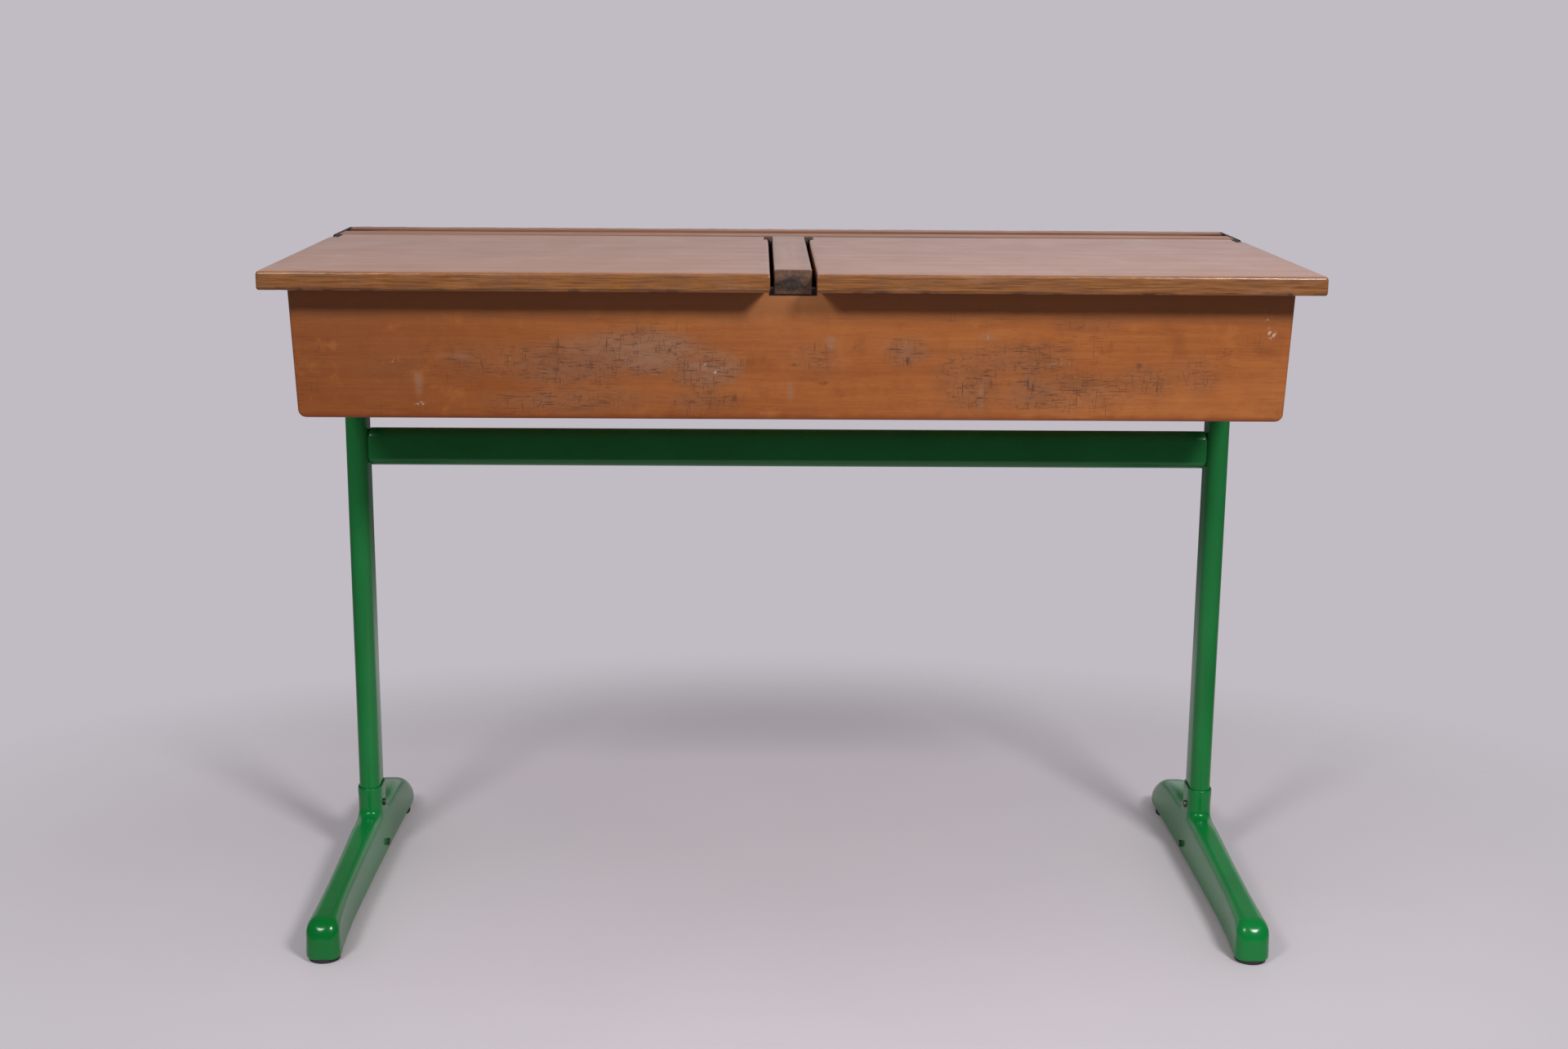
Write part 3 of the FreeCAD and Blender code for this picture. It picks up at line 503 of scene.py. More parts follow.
def makeLid(name, side, seed):
    # The lid's section lies across Y and Z: a rear edge round the pivot, a flat top and underside, and a nose.
    # It is carried along X and notched at both rear ends for the hinge leaves. side is -1 for the left lid.
    shape = lidShape
    low, high = nodeSpan(name)
    front, rear, bottom, topZ = low[1], high[1], low[2], high[2]
    pivotY, pivotZ = rear - shape["pivotDepth"], topZ - shape["pivotDepth"]
    a = np.radians(np.linspace(0, 90, 7))
    upperRear = np.stack([pivotY + shape["pivotDepth"] * np.cos(a), pivotZ + shape["pivotDepth"] * np.sin(a)], 1)
    drop = np.arccos(shape["pivotDepth"] / shape["underRadius"])
    b = np.linspace(drop, np.pi / 2, 6)
    lowerRear = np.stack([pivotY + shape["underRadius"] * np.cos(b), pivotZ - shape["underRadius"] * np.sin(b)], 1)
    lowerRear = np.vstack([[rear, pivotZ - 0.01], lowerRear])
    lowerRear[-1] = pivotY, bottom
    rU, rL = shape["noseUpper"], shape["noseLower"]
    flat = np.linspace(0, 1, int((rear - front) / shape["flatPitch"]))
    ys = pivotY + (front + rU - pivotY) * flat[1:-1]
    ys = np.sort(np.concatenate([ys, [shape["notchFront"], shape["notchFront"]]]))[::-1]
    c = np.radians(np.linspace(0, 90, 7))
    upperNose = np.stack([front + rU - rU * np.sin(c), topZ - rU + rU * np.cos(c)], 1)
    lowerNose = np.stack([front + rL - rL * np.sin(c), bottom + rL - rL * np.cos(c)], 1)
    middle = (topZ - rU + bottom + rL) / 2
    faceU = np.stack([np.full(4, front), np.linspace(topZ - rU, middle, 5)[1:]], 1)
    faceL = np.stack([np.full(4, front), np.linspace(bottom + rL, middle, 5)[1:]], 1)
    faceL[-1, 1] -= 0.01
    top = np.vstack([upperRear, np.stack([ys, np.full(len(ys), topZ)], 1), upperNose, faceU])
    under = np.vstack([lowerRear, np.stack([ys, np.full(len(ys), bottom)], 1), lowerNose, faceL])
    behind = np.zeros(len(top), bool)
    behind[:len(upperRear)] = True
    inFlat = np.arange(len(upperRear), len(upperRear) + len(ys))
    behind[inFlat] = ys > shape["notchFront"]
    behind[inFlat[ys == shape["notchFront"]][0]] = True      # the first of the doubled pair is the notch's own line
    inner, outer = (low[0], high[0]) if side > 0 else (high[0], low[0])
    innerAt = np.where(behind, inner + side * shape["innerNotch"], inner)
    outerAt = np.where(behind, outer - side * shape["outerNotch"], outer)
    lows, highs = (innerAt, outerAt) if side > 0 else (outerAt, innerAt)

    def pull(across, depth, fromLow, fromHigh):
        # Rounds the outer front corner in plan, and both ends' edges in height.
        fromOuter = fromHigh if side > 0 else fromLow
        near = np.minimum(fromLow, fromHigh)
        across = across + quarter(fromOuter, shape["cornerRadius"]) * (rear - across) / (rear - front)
        half, centre = (topZ - bottom) / 2, (topZ + bottom) / 2
        share = np.where(depth > centre, quarter(near, rU), quarter(near, rL)) / half
        return across, centre + (depth - centre) * (1 - share)

    along, y, z, faces = carryBoard(top, under, lows, highs, shape["endFade"], shape["lengthPitch"], pull)
    # Wear: the nose waves by a hair, and chips bite into its lower edge.
    dice = np.random.default_rng(seed)
    toNose = np.hypot(y - front, z - bottom)
    toUpper = np.hypot(y - front, z - topZ)
    bite = np.zeros_like(y)
    for _ in range(shape["chipCount"]):
        place, reach = dice.uniform(low[0] + 8, high[0] - 8), dice.uniform(*shape["chipReach"])
        deep = dice.uniform(0.25, 1.0) * shape["chipDepth"]
        bite = np.maximum(bite, deep * np.clip(1 - ((along - place) / reach) ** 2, 0, 1) ** 0.7)
    bite *= np.exp(-(toNose / shape["chipSpread"]) ** 2) * (0.75 + 0.25 * ripple(along, seed + 1, 2, 9))
    bite = np.clip(bite, 0, None)
    soft = shape["wear"] * (1 + ripple(along, seed + 2, 12, 160)) * np.exp(-(toUpper / shape["wearReach"]) ** 2)
    y = y + bite * 0.75 + soft * 0.5
    z = z + bite * 0.6 - soft * 0.7
    fromEnd = np.minimum(np.abs(along - low[0]), np.abs(along - high[0]))
    edge = np.minimum(np.minimum(y - front, rear - y), fromEnd)
    values = {
        "nose": np.maximum(1 - ease(y - front, 0.5, 1.9), 1 - ease(fromEnd, 0.1, 0.8)),
        "chip": np.clip(bite / 0.6, 0, 1), "rim": 1 - ease(edge, 0, shape["rimReach"]),
        "dark": spots(along, y, shape["dark"]) * (z > topZ - 1),
    }
    addPiece(name + "_board", grid(along, y, z), faces, name, lidWood, [name], values)


makeLid("lid_left", -1, 11)
makeLid("lid_right", 1, 23)

barShape = {
    "edgeRadius": 1.5, "lowerRadius": 0.8, "endRadius": 1.2, "proud": 0.5, "lengthPitch": 3.0, "rimReach": 12,
    "endFade": 8, "wear": 0.3, "wearReach": 2,
}


def makeBar():
    # The bar's section lies across X and Z, and is carried along Y; its front end is rounded over.
    shape = barShape
    low, high = nodeSpan("centre_bar")
    r = shape["edgeRadius"]
    half, centre = high[0], (low[2] + high[2]) / 2
    turn = np.radians(np.linspace(0, 90, 6))
    flat = np.linspace(-half + r, half - r, 14)[1:-1]
    xs = np.concatenate([-half + r - r * np.cos(turn), flat, half - r + r * np.sin(turn)])
    fromSide = np.minimum(xs + half, half - xs)
    top = np.stack([xs, high[2] - quarter(fromSide, r)], 1)
    under = np.stack([xs, low[2] + quarter(fromSide, shape["lowerRadius"])], 1)

    def pull(across, depth, fromLow, fromHigh):
        inset = quarter(fromLow, shape["endRadius"])
        return across * (1 - inset / half), centre + (depth - centre) * (1 - inset / (high[2] - centre))

    front, ones = low[1] - shape["proud"], np.ones(len(xs))
    fade, pitch = shape["endFade"], shape["lengthPitch"]
    along, x, z, faces = carryBoard(top, under, front * ones, high[1] * ones, fade, pitch, pull)
    toSide = half - np.abs(x)
    edge = np.minimum(toSide, along - front)
    wear = shape["wear"] * np.exp(-(toSide / shape["wearReach"]) ** 2) * (1 + ripple(along, 5, 6, 60)) * (z > centre)
    x, z = x - np.sign(x) * wear * 0.5, z - wear * 0.6
    values = {"rim": 1 - ease(edge, 0, shape["rimReach"]), "end": 1 - ease(along - front, 0.5, 1.3)}
    addPiece("centre_bar_board", grid(x, along, z), faces, "desk", barWood, ["centre_bar"], values)


makeBar()

railShape = {
    "edgeRadius": 2.0, "cornerRadius": 4.0, "grooveWidth": 30.0, "grooveDepth": 9.0, "frontLand": 39.0,
    "lipDrop": 0.5, "lipReach": 0.8, "endRadius": 1.5, "lengthPitch": 3.0, "rimReach": 10,
    "endFade": 10, "wear": 0.22, "wearReach": 4,
}


def makeRail():
    # The rail's section: two lands and a round-bottomed groove, carried along X.
    shape = railShape
    low, high = nodeSpan("rear_rail")
    front, rear, bottom, topZ = low[1], high[1], low[2], high[2]
    r = shape["edgeRadius"]
    grooveR = (shape["grooveWidth"] ** 2 / 4 + shape["grooveDepth"] ** 2) / (2 * shape["grooveDepth"])
    grooveY = front + shape["frontLand"] + shape["grooveWidth"] / 2
    half = shape["grooveWidth"] / 2
    turn = 1 - np.cos(np.radians(np.linspace(0, 90, 6)))
    lip = np.array([0, 0.4, 1.0, 2.0])
    ys = np.concatenate([front + r * turn, np.linspace(front + r, grooveY - half - 2, 8)[1:],
                         grooveY - half - lip[::-1][1:], np.linspace(grooveY - half, grooveY + half, 21)[1:-1],
                         grooveY + half + lip[:-1], np.linspace(grooveY + half + 2, rear - r, 7),
                         rear - r * turn[::-1][1:]])
    ys = np.unique(np.round(ys, 4))
    dip = np.sqrt(np.clip(grooveR ** 2 - (ys - grooveY) ** 2, 0, None)) - (grooveR - shape["grooveDepth"])
    edgePull = quarter(np.minimum(ys - front, rear - ys), r)
    lipPull = shape["lipDrop"] * np.exp(-((np.abs(ys - grooveY) - half) / shape["lipReach"]) ** 2)
    top = np.stack([ys, topZ - np.clip(dip, 0, None) - edgePull - lipPull], 1)
    under = np.stack([ys, np.full(len(ys), bottom)], 1)

    def pull(across, depth, fromLow, fromHigh):
        near = np.minimum(fromLow, fromHigh)
        across = across - quarter(near, shape["cornerRadius"]) * (across - front) / (rear - front)
        return across, np.where(depth > bottom + 3, depth - quarter(near, shape["endRadius"]), depth)

    ones, fade, pitch = np.ones(len(ys)), shape["endFade"], shape["lengthPitch"]
    along, y, z, faces = carryBoard(top, under, low[0] * ones, high[0] * ones, fade, pitch, pull)
    onTop = ease(z, bottom + 4, bottom + 8)
    worn = np.exp(-((rear - y) / shape["wearReach"]) ** 2) * onTop
    wear = shape["wear"] * (1 + ripple(along, 31, 14, 220)) * worn
    z = z - wear
    inGroove = 1 - ease(np.abs(y - grooveY), half - 2, half + 1)
    edge = np.minimum(np.minimum(y - front, rear - y), np.minimum(along - low[0], high[0] - along))
    farWall = 0.35 + 0.65 * ease(y, grooveY - 4, grooveY + 6)
    values = {"rim": 1 - ease(edge, 0, shape["rimReach"]), "groove": inGroove * onTop * farWall}
    addPiece("rear_rail_board", grid(along, y, z), faces, "desk", railWood, ["rear_rail"], values)


makeRail()

panelShape = {
    "taper": 6.1, "cornerRadius": 8.0, "edgeRadius": 2.0, "lengthPitch": 2.6, "heightPitch": 2.6, "endFade": 10,
    # Middle across, middle up, reach across, reach up, strength: read off the photograph.
    "craze": [(-308, 627, 79.6, 26.5, 0.7), (-234, 623, 97.3, 33.6, 1.0), (-150, 636, 79.6, 35.4, 0.9),
             (-92, 616, 53.1, 30.1, 0.8), (-226, 585, 115.0, 19.5, 0.9), (-92, 586, 53.1, 15.9, 0.7),
             (-408, 618, 53.1, 26.5, 0.35), (184, 609, 53.1, 44.2, 0.8), (276, 596, 97.3, 30.1, 1.0),
             (233, 630, 79.6, 26.5, 0.8), (116, 638, 35.4, 23.0, 0.8), (360, 605, 53.1, 30.1, 0.6),
             (410, 614, 44.2, 30.1, 0.45), (25, 629, 53.1, 26.5, 0.4), (299, 668, 53.1, 17.7, 0.4)],
    "scuff": [(-192, 644, 61.9, 19.5, 0.55), (-142, 636, 70.8, 30.1, 0.8), (-84, 620, 44.2, 26.5, 0.75),
             (-382, 604, 6.2, 21.2, 0.75), (39, 646, 8.0, 10.6, 0.9), (116, 638, 5.3, 15.9, 0.55),
             (194, 592, 4.4, 26.5, 0.6), (241, 609, 3.5, 12.4, 0.6), (-2, 595, 5.3, 19.5, 0.6),
             (267, 625, 21.2, 2.7, 0.9), (-342, 630, 26.5, 5.3, 0.5), (199, 653, 12.4, 8.8, 0.5)],
    "dark": [(3, 623, 6.2, 2.7, 0.8), (29, 628, 5.3, 1.8, 0.7), (32, 604, 7.1, 2.7, 0.7), (355, 624, 4.4, 2.7, 0.9),
             (118, 629, 2.7, 10.6, 0.8), (63, 640, 3.5, 1.8, 0.6), (241, 605, 1.8, 12.4, 0.8),
             (246, 603, 1.8, 10.6, 0.7), (4, 658, 12.4, 1.8, 0.5), (-242, 617, 8.0, 3.5, 0.7),
             (-59, 590, 3.5, 8.8, 0.6)],
    "fleck": [(-88, 623, 1.8, 1.8, 1.0), (-80, 615, 1.8, 1.8, 1.0), (-85, 606, 1.8, 1.8, 1.0),
             (485, 668, 3.2, 7.5, 1.0), (489, 657, 4.6, 5.5, 1.0), (-380, 582, 8.0, 1.8, 0.6),
             (-407, 625, 1.8, 3.5, 0.5), (198, 653, 3.5, 3.5, 0.5)],
}


def makePanel(name, faceSide, material, marked):
    # The panel's section lies across Y and Z and is carried along X. Its ends lean in towards the
    # bottom, and its lower corners are round.
    shape = panelShape
    low, high = nodeSpan(name)
    near, far, bottom, topZ = low[1], high[1], low[2], high[2]
    r = shape["edgeRadius"]
    turn = 1 - np.cos(np.radians(np.linspace(0, 90, 6)))
    corner = np.arange(bottom + 2.8, bottom + 10, 1.2)
    face = np.arange(bottom + 10, topZ - 3, shape["heightPitch"])
    zs = np.unique(np.round(np.concatenate([bottom + r * turn, corner, face, topZ - r * turn[::-1]]), 3))
    pulled = quarter(np.minimum(zs - bottom, topZ - zs), r)
    pulledTop = np.where(zs > (bottom + topZ) / 2, 0, pulled)
    outer, inner = (near, far) if faceSide < 0 else (far, near)
    first = np.stack([zs, outer - faceSide * pulledTop], 1)
    second = np.stack([zs, np.full(len(zs), inner)], 1)
    half = high[0] - shape["taper"] * (topZ - zs) / (topZ - bottom) - quarter(zs - bottom, shape["cornerRadius"])

    def pull(up, across, fromLow, fromHigh):
        inset = quarter(np.minimum(fromLow, fromHigh), r)
        outside = np.abs(across - inner) > abs(outer - inner) / 2
        return up, np.where(outside, across - faceSide * inset, across)

    along, z, y, faces = carryBoard(first, second, -half, half, shape["endFade"], shape["lengthPitch"], pull)
    values = {}
    if marked:
        values = {key: spots(along, z, shape[key]) for key in ("craze", "scuff", "dark", "fleck")}
        values["foot"] = 1 - ease(z - bottom, 1.5, 7 + 2 * ripple(along, 3, 20, 200))
    addPiece(name + "_board", grid(along, y, z), faces, "desk", material, [name], values)


makePanel("front_panel", -1, panelWood, True)
makePanel("back_panel", 1, backWood, False)

tubeShape = {"rings": 64, "railEndRadius": 5.0, "grow": 0.8}


def flatOval(width, depth, count):
    # Points round a flat oval: half circles of the width's radius, drawn apart along the depth.
    turn = np.linspace(0, 2 * np.pi, count, endpoint=False) + np.pi / count
    r = width / 2
    return r * np.cos(turn), r * np.sin(turn) + np.sign(np.sin(turn)) * (depth / 2 - r)


def makeLeg(name):
    # A flat oval carried straight up.
    low, high = nodeSpan(name)
    middle, size = (low + high) / 2, high - low + 2 * tubeShape["grow"]
    across, deep = flatOval(size[0], size[1], tubeShape["rings"])
    zs = np.linspace(low[2], high[2], 120)
    points = grid(middle[0] + across[:, None], middle[1] + deep[:, None], zs)
    addPiece(name + "_tube", points, closedTube(len(across), len(zs)), "desk", enamel, [name])


makeLeg("leg_left")
makeLeg("leg_right")


def makeCrossRail():
    # The same flat oval carried along X; its ends are rounded over in height and a little in depth.
    low, high = nodeSpan("cross_rail")
    middle, height = (low + high) / 2, high[2] - low[2]
    across, up = flatOval(high[1] - low[1], height, tubeShape["rings"])
    near = np.array([0, 0.25, 0.6, 1.2, 2, 3, 4.2, 5.5, 7, 9])
    xs = np.concatenate([low[0] + near, np.linspace(low[0] + 12, high[0] - 12, 140), high[0] - near[::-1]])
    fromEnd = np.minimum(xs - low[0], high[0] - xs)
    tall = 1 - quarter(fromEnd, tubeShape["railEndRadius"]) / (height / 2)
    points = grid(xs, middle[1] + across[:, None] * (1 - 0.35 * (1 - tall)), middle[2] + up[:, None] * tall)
    faces = closedTube(len(across), len(xs))
    addPiece("cross_rail_tube", points, faces, "desk", enamel, ["cross_rail"])


makeCrossRail()

footShape = {
    "sole": 3.5, "toeHeight": 46.0, "toeRadius": 20.0, "crest": 57.0, "crestReach": 63.0,
    "soleRadius": 2.5, "noseRadius": 14.0, "lobeRadius": 17.0, "draft": 0.03,
    # Along the foot: distance from the leg's axis, half width, radius of the upper edges.
    "plan": [(-313, 19.4, 13), (-290, 17.9, 11), (-262, 16.2, 9), (-225, 15.1, 8), (-160, 15.1, 8), (-90, 15.9, 8.5),
             (-20, 17.0, 9), (40, 17.8, 10), (100, 19.4, 12), (150, 20.8, 15), (183, 21.0, 17)],
    "neckWall": 2.2, "neckHeight": 89.0, "flare": 7.0, "flareFrom": 51.0, "flareTo": 65.0,
    "voxel": 1.25, "softRounds": 4, "blendRounds": 40, "hollowRise": 22.0, "hollowEdge": 9.0,
    "seatRadius": 4.6, "seamDepth": 3.0,
}


def footBody(low, high, legY):
    # A section with rounded upper edges, carried from the toe to the heel under a side line: a rounded toe,
    # a straight rise to the crest, and a quarter ellipse down to the heel. Toe and heel are round in plan too.
    shape = footShape
    toe, heel, sole, crest = low[1], high[1], shape["sole"], shape["crest"]
    ends = np.array([0, 0.3, 0.8, 1.5, 2.4, 3.5, 4.8, 6.3, 8, 10, 12])
    ys = np.concatenate([toe + ends, np.linspace(toe + 15, heel - 15, 260), heel - ends[::-1]])
    crestEnd = legY + shape["crestReach"]
    riseStart = toe + shape["toeRadius"]
    armTop = shape["toeHeight"] + (crest - shape["toeHeight"]) * (ys - riseStart) / (legY - riseStart)
    armTop = np.minimum(armTop, crest) - quarter(ys - toe, shape["toeRadius"])
    fall = np.clip((ys - crestEnd) / (heel - crestEnd), 0, 0.9995)
    upper = np.where(ys < crestEnd, armTop, sole + (crest - sole) * np.sqrt(1 - fall ** 2))
    plan = np.array(shape["plan"])
    width, r = (np.interp(ys - legY, plan[:, 0], plan[:, k]) for k in (1, 2))
    width, r = (np.convolve(np.pad(row, 12, mode="edge"), np.ones(25) / 25, mode="valid") for row in (width, r))
    width = width - quarter(ys - toe, shape["noseRadius"]) - quarter(heel - ys, shape["lobeRadius"]) * 0.85
    under = sole + quarter(ys - toe, 2.0)
    r = np.minimum(r, np.minimum(width * 0.93, (upper - under) * 0.72))
    s = np.minimum(shape["soleRadius"], np.minimum(width, upper - under) * 0.25)
    turn = np.radians(np.linspace(0, 90, 12))[:, None]
    flank = np.linspace(0, 1, 6)[1:-1, None]
    side = np.vstack([width - s * (1 - np.sin(turn)), width * np.ones_like(flank), width - r * (1 - np.cos(turn))])
    up = np.vstack([under + s * (1 - np.cos(turn)), under + s + (upper - r - under - s) * flank,
                    upper - r * (1 - np.sin(turn))])
    side = side - shape["draft"] * np.clip(up - sole, 0, None) * side / width
    return np.vstack([side, -side[::-1]]), ys, np.vstack([up, up[::-1]])


def footNeck(legY, neckX, neckY):
    # Flat ovals up the leg, drawn out along the arm by a hollow quarter curve, with a small rim at the top.
    shape = footShape
    tall = shape["neckHeight"]
    levels = np.concatenate([np.linspace(30, 56, 6), np.linspace(57, 73, 14), np.linspace(75, tall - 1.4, 7),
                             tall - np.array([0.8, 0.4, 0.15, 0])])
    lift = np.clip((levels - shape["flareFrom"]) / (shape["flareTo"] - shape["flareFrom"]), 0, 1)
    grow = shape["flare"] * (1 - np.sqrt(1 - (1 - lift) ** 2))
    rim = quarter(tall - levels, 1.2)
    ovalX, ovalY = flatOval(neckX, neckY, 96)
    outX = ovalX / (neckX / 2)
    outY = np.sign(ovalY) * np.clip((np.abs(ovalY) - (neckY - neckX) / 2) / (neckX / 2), 0, 1)
    x = ovalX[:, None] + outX[:, None] * (0.05 * grow - rim)
    y = ovalY[:, None] + outY[:, None] * (grow - rim)
    return x, legY + y, levels


def relax(points, edges, weight, rounds):
    # Each round moves a point towards the mean of its neighbours, by its own weight.
    count = len(points)
    number = np.bincount(edges.ravel(), minlength=count)[:, None]
    a, b = edges.T
    for _ in range(rounds):
        total = np.stack([np.bincount(a, row[b], count) + np.bincount(b, row[a], count) for row in points.T], 1)
        points = points + weight[:, None] * (total / number - points)
    return points


def makeFoot(name, leg, screwSide):
    # Body and neck are merged by voxels into one skin, and the joint between them is smoothed like a casting's.
    shape = footShape
    low, high = nodeSpan(name)
    legLow, legHigh = nodeSpan(leg)
    middle, half = (low[0] + high[0]) / 2, (high[0] - low[0]) / 2
    legY = (legLow[1] + legHigh[1]) / 2
    neckX, neckY = (legHigh - legLow)[:2] + 2 * (tubeShape["grow"] + shape["neckWall"])
    parts, faces, count = [], [], 0
    for across, along, up in (footBody(low, high, legY), footNeck(legY, neckX, neckY)):
        faces += [[corner + count for corner in face] for face in closedTube(*across.shape)]
        parts.append(grid(middle + across, along, up))
        count += across.size
    piece = addPiece(name + "_casting", np.vstack(parts), faces, "desk", enamel, [name])
    merge = piece.modifiers.new("merge", "REMESH")
    merge.mode, merge.voxel_size, merge.use_smooth_shade = "VOXEL", shape["voxel"] * mm, True
    skin = bpy.data.meshes.new_from_object(piece.evaluated_get(bpy.context.evaluated_depsgraph_get()))
    piece.modifiers.clear()
    piece.data = skin
    if not skin.materials:
        skin.materials.append(enamel)
    co = np.empty(len(skin.vertices) * 3)
    skin.vertices.foreach_get("co", co)
    co = co.reshape(-1, 3) / mm
    edges = np.empty(len(skin.edges) * 2, dtype=np.int64)
    skin.edges.foreach_get("vertices", edges)
    edges = edges.reshape(-1, 2)
    co = relax(co, edges, np.full(len(co), 0.5), shape["softRounds"])
    x, y, z = co.T
    nearNeck = 1 - ease(np.abs(y - legY) - neckY / 2, 14, 34)
    blend = nearNeck * ease(z, 38, 50) * (1 - ease(z, shape["neckHeight"] - 16, shape["neckHeight"] - 8))
    co = relax(co, edges, 0.6 * blend, shape["blendRounds"])
    # Round the leg the skin dips into a dark seam; under the sole it rises into the casting's hollows.
    x, y, z = co.T
    outside = np.hypot(x - middle, np.clip(np.abs(y - legY) - (neckY - neckX) / 2, 0, None))
    toSocket = outside - (neckX / 2 - shape["neckWall"])
    co[:, 2] -= shape["seamDepth"] * (1 - ease(toSocket, 0.3, 1.7)) * (z > shape["neckHeight"] - 3)
    fromSide = 1 - ease(np.abs(x - middle), shape["hollowEdge"] - 2, shape["hollowEdge"])
    ahead = ease(y, low[1] + 33, low[1] + 36) * (1 - ease(y, legY - neckY / 2 - 6, legY - neckY / 2 - 3))
    behind = ease(y, legY + neckY / 2 + 3, legY + neckY / 2 + 6) * (1 - ease(y, high[1] - 65, high[1] - 61))
    co[:, 2] += np.where(z < shape["sole"] + 1.2, fromSide * np.maximum(ahead, behind) * shape["hollowRise"], 0)
    # A small flat seat under each screw's head on the inner side.
    for screw, reach in (("socket_screws", neckX / 2), ("base_screws", half)):
        seatLow, seatHigh = nodeSpan(screw)
        seatY, seatZ = (seatLow[1] + seatHigh[1]) / 2, (seatLow[2] + seatHigh[2]) / 2
        seat = 1 - ease(np.hypot(y - seatY, z - seatZ), shape["seatRadius"], shape["seatRadius"] + 2.9)
        seat = seat * ((x - middle) * screwSide > 8)
        co[:, 0] += (middle + screwSide * reach - co[:, 0]) * seat
    skin.vertices.foreach_set("co", (co * mm).ravel())
    skin.shade_smooth()
    skin.update()
    print("casting", name, len(skin.polygons), "faces")


makeFoot("foot_left", "leg_left", 1)
makeFoot("foot_right", "leg_right", -1)

glideShape = {"radius": 20.6, "edge": 1.1, "lip": 0.5, "stemRadius": 3.0, "segments": 72}


def makeGlide(name):
    # A turned pad whose rim just shows past the heel's lower edge, with its stem up in the casting.
    low, high = nodeSpan(name)
    middle = (low + high) / 2
    r, edge, lip, stem = (glideShape[key] for key in ("radius", "edge", "lip", "stemRadius"))
    sole = footShape["sole"]
    bend = np.radians(np.linspace(0, 90, 6))
    radii = np.concatenate([np.linspace(0.2, r - edge, 5)[:-1], r - edge + edge * np.sin(bend),
                            r - lip + lip * np.cos(bend), [stem, stem, stem - 0.5, 0.2]])
    heights = np.concatenate([np.zeros(4), edge - edge * np.cos(bend),
                              sole - lip + lip * np.sin(bend), [sole, high[2] - 0.5, high[2], high[2]]])
    turn = np.linspace(0, 2 * np.pi, glideShape["segments"], endpoint=False)[:, None]
    points = grid(middle[0] + np.cos(turn) * radii, middle[1] + np.sin(turn) * radii, heights)
    addPiece(name + "_pad", points, closedTube(len(turn), len(radii)), "desk", rubber, [name])


makeGlide("glide_rear_left")
makeGlide("glide_rear_right")

roomLook = {
    "floor": screenColour(209, 203, 208), "floorRings": (0.5, 1, 2, 3, 4.5), "fadeFrom": 0.5, "fadeTo": 1.15,
    "background": screenColour(193, 188, 195), "ambient": 0.36, "overhead": 2.6, "frontShade": 0.07,
    "lampSize": 0.6, "lampDistance": 2.8, "aimHeight": 0.45, "leftPower": 25.0, "rightPower": 46.0,
    "azimuth": 29, "elevation": 34,
}


def makeFloor():
    # A pale disc in metres that fades into the background around the desk.
    ring = np.radians(np.arange(0, 360, 5))[:, None]
    radii = np.array(roomLook["floorRings"])
    mesh = bpy.data.meshes.new("floor")
    faces = ringFaces(len(ring), len(radii))[:, ::-1].tolist() + [list(np.arange(len(ring)) * len(radii))]
    mesh.from_pydata(grid(radii * np.cos(ring), radii * np.sin(ring), 0.0), [], faces)
    item = bpy.data.objects.new("floor", mesh)
    bpy.context.scene.collection.objects.link(item)
    material, shader, place = newMaterial("pale floor")
    away = place.place((0.85, 1.25, 1)).length()
    paint = place.noise(3, 3, 0.5).step(0.3, 0.7).mix(roomLook["floor"], tuple(np.array(roomLook["floor"]) * 0.97))
    finish(place, shader, paint, 0.6)
    clear = place.node("ShaderNodeBsdfTransparent")
    fade = away.step(roomLook["fadeFrom"], roomLook["fadeTo"])
    blend = place.node("ShaderNodeMixShader", {}, {0: fade, 1: Wire(place.tree, shader.outputs[0]), 2: clear})
    place.tree.links.new(blend.socket, place.tree.nodes["Material Output"].inputs[0])
    mesh.materials.append(material)


makeFloor()


def makeLamp(name, azimuth, power):
    # A softbox aimed at the desk. Azimuth 0 is straight in front of it.
    data = bpy.data.lights.new(name, "AREA")
    data.shape, data.size, data.energy = "DISK", roomLook["lampSize"], power
    lamp = bpy.data.objects.new(name, data)
    bpy.context.scene.collection.objects.link(lamp)
    a, e = math.radians(azimuth), math.radians(roomLook["elevation"])
    away = Vector((math.sin(a) * math.cos(e), -math.cos(a) * math.cos(e), math.sin(e)))
    lamp.location = Vector((0, 0, roomLook["aimHeight"])) + away * roomLook["lampDistance"]
    lamp.rotation_mode = "QUATERNION"
    lamp.rotation_quaternion = (-away).to_track_quat("-Z", "Y")


makeLamp("left softbox", -roomLook["azimuth"], roomLook["leftPower"])
makeLamp("right softbox", roomLook["azimuth"], roomLook["rightPower"])

# What gloss shows, as steps of the direction it looks in: a dark room on the side that the desk faces, and
# behind it a wall that is pale only low down, with a dark band just below the horizon.
wallLook = {
    "behind": (0.1, 0.75), "right": (-0.12, 0.16), "rightGain": 0.3, "high": (0.33, 0.37), "highShade": 0.7,
    "bandFrom": (-0.3, -0.23), "bandTo": (-0.08, 0.02), "bandShade": 0.85,
}


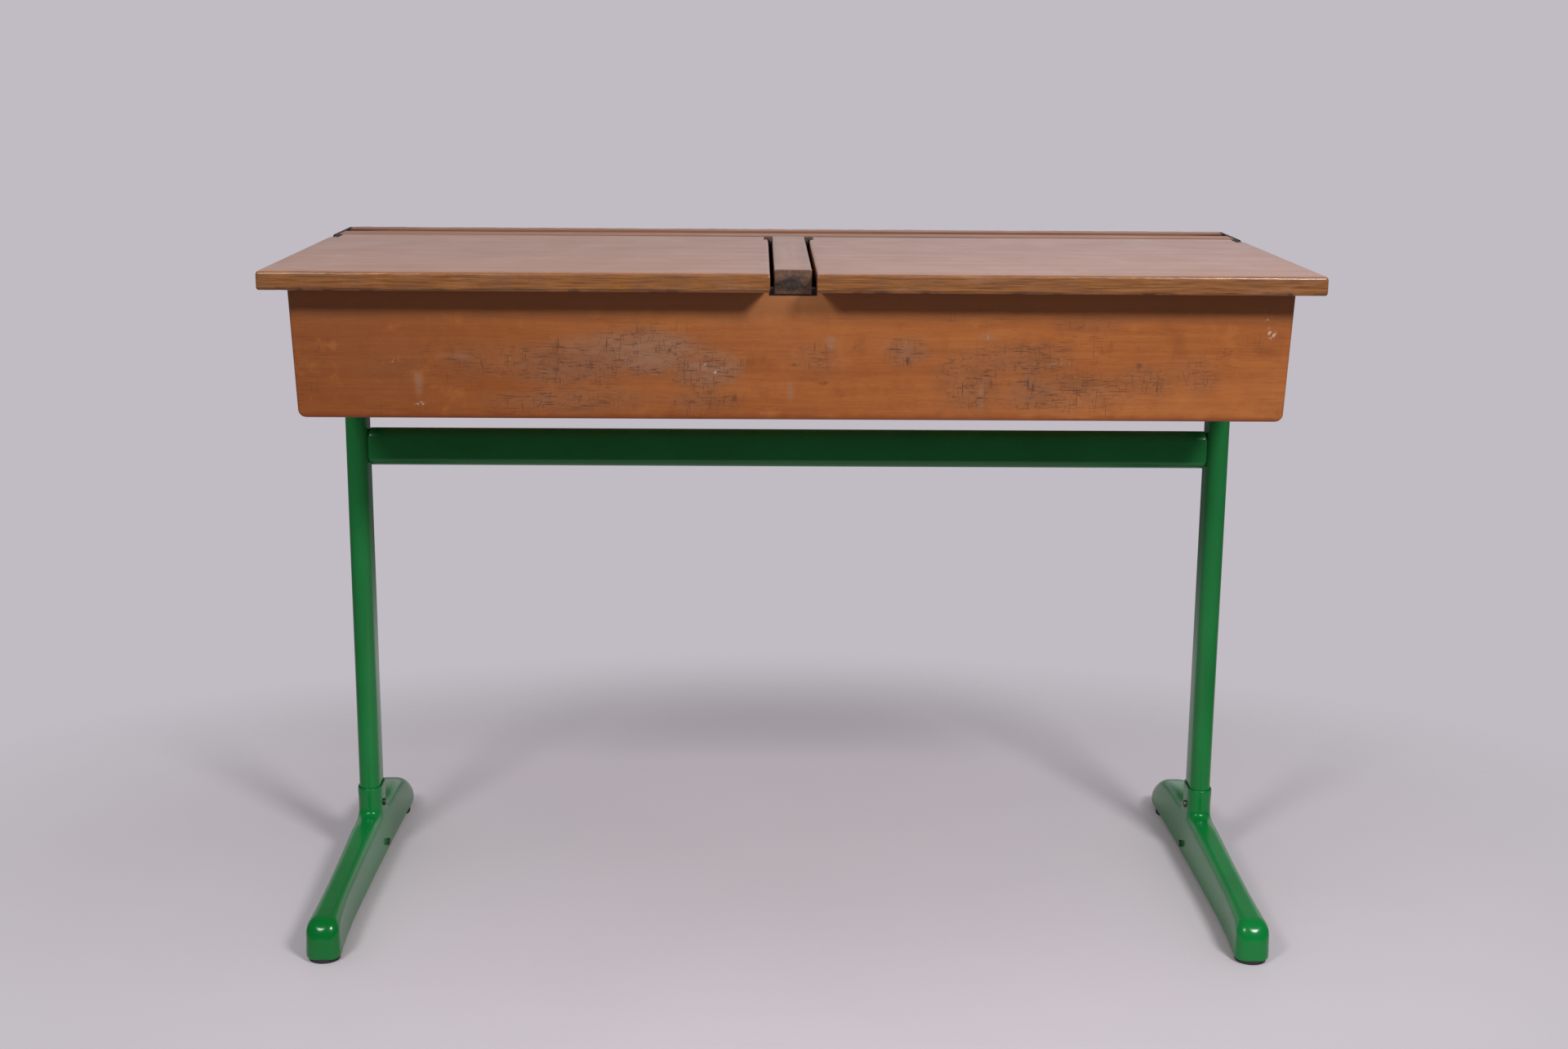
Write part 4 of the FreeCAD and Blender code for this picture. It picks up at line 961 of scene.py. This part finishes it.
def makeWorld():
    # The camera sees one even background. Other light from it is soft and stronger from overhead.
    world = bpy.data.worlds.new("studio")
    bpy.context.scene.world = world
    world.use_nodes = True
    tree = world.node_tree
    tree.nodes.clear()
    sky = Wire(tree)
    rays = tree.nodes.new("ShaderNodeLightPath").outputs
    mirrored = Wire(tree, rays["Is Glossy Ray"])
    shown = Wire(tree, rays["Is Camera Ray"]).most(Wire(tree, rays["Is Transmission Ray"]))
    heading = sky.node("ShaderNodeTexCoord", {}, {}, 0)
    toRight, toBack, toTop = (heading.axis(which) for which in range(3))
    wall = toBack.step(*wallLook["behind"]) * (1 + toRight.step(*wallLook["right"]) * wallLook["rightGain"])
    wall = wall * (1 - toTop.step(*wallLook["high"]) * wallLook["highShade"])
    band = toTop.step(*wallLook["bandFrom"]) * (1 - toTop.step(*wallLook["bandTo"]))
    wall = wall * (1 - band * wallLook["bandShade"])
    ambient = roomLook["ambient"] * (0.9 + toTop.most(0) ** 2 * roomLook["overhead"])
    strength = shown.most(mirrored * wall.most(roomLook["frontShade"]))
    strength = strength.most((1 - shown.most(mirrored)) * ambient)
    back = sky.node("ShaderNodeBackground", {}, {"Color": roomLook["background"], "Strength": strength})
    tree.links.new(back.socket, tree.nodes.new("ShaderNodeOutputWorld").inputs[0])


makeWorld()

cameraLook = {
    "place": (-36.84, -2342.478, 948.811), "down": 12.92436, "aside": 0.78346, "roll": 0.41623, "lens": 48.7276,
    "nearest": 0.05, "farthest": 50,
}


def makeCamera():
    # Forward is turned aside from +Y, tipped down, and the picture is rolled about it.
    down, aside, roll = (math.radians(cameraLook[key]) for key in ("down", "aside", "roll"))
    level = Vector((math.sin(aside), math.cos(aside), 0))
    right = Vector((math.cos(aside), -math.sin(aside), 0))
    ahead = level * math.cos(down) - Vector((0, 0, 1)) * math.sin(down)
    up = level * math.sin(down) + Vector((0, 0, 1)) * math.cos(down)
    rolledRight = right * math.cos(roll) + up * math.sin(roll)
    rolledUp = up * math.cos(roll) - right * math.sin(roll)
    data = bpy.data.cameras.new("photo camera")
    data.lens, data.sensor_width, data.sensor_fit = cameraLook["lens"], 36, "HORIZONTAL"
    data.clip_start, data.clip_end = cameraLook["nearest"], cameraLook["farthest"]
    camera = bpy.data.objects.new("photo camera", data)
    bpy.context.scene.collection.objects.link(camera)
    turn = Matrix((rolledRight, rolledUp, -ahead)).transposed().to_4x4()
    camera.matrix_world = Matrix.Translation(Vector(cameraLook["place"]) * mm) @ turn
    bpy.context.scene.camera = camera


makeCamera()
bpy.context.scene.view_settings.view_transform = "Standard"
print("room, lamps and camera set")
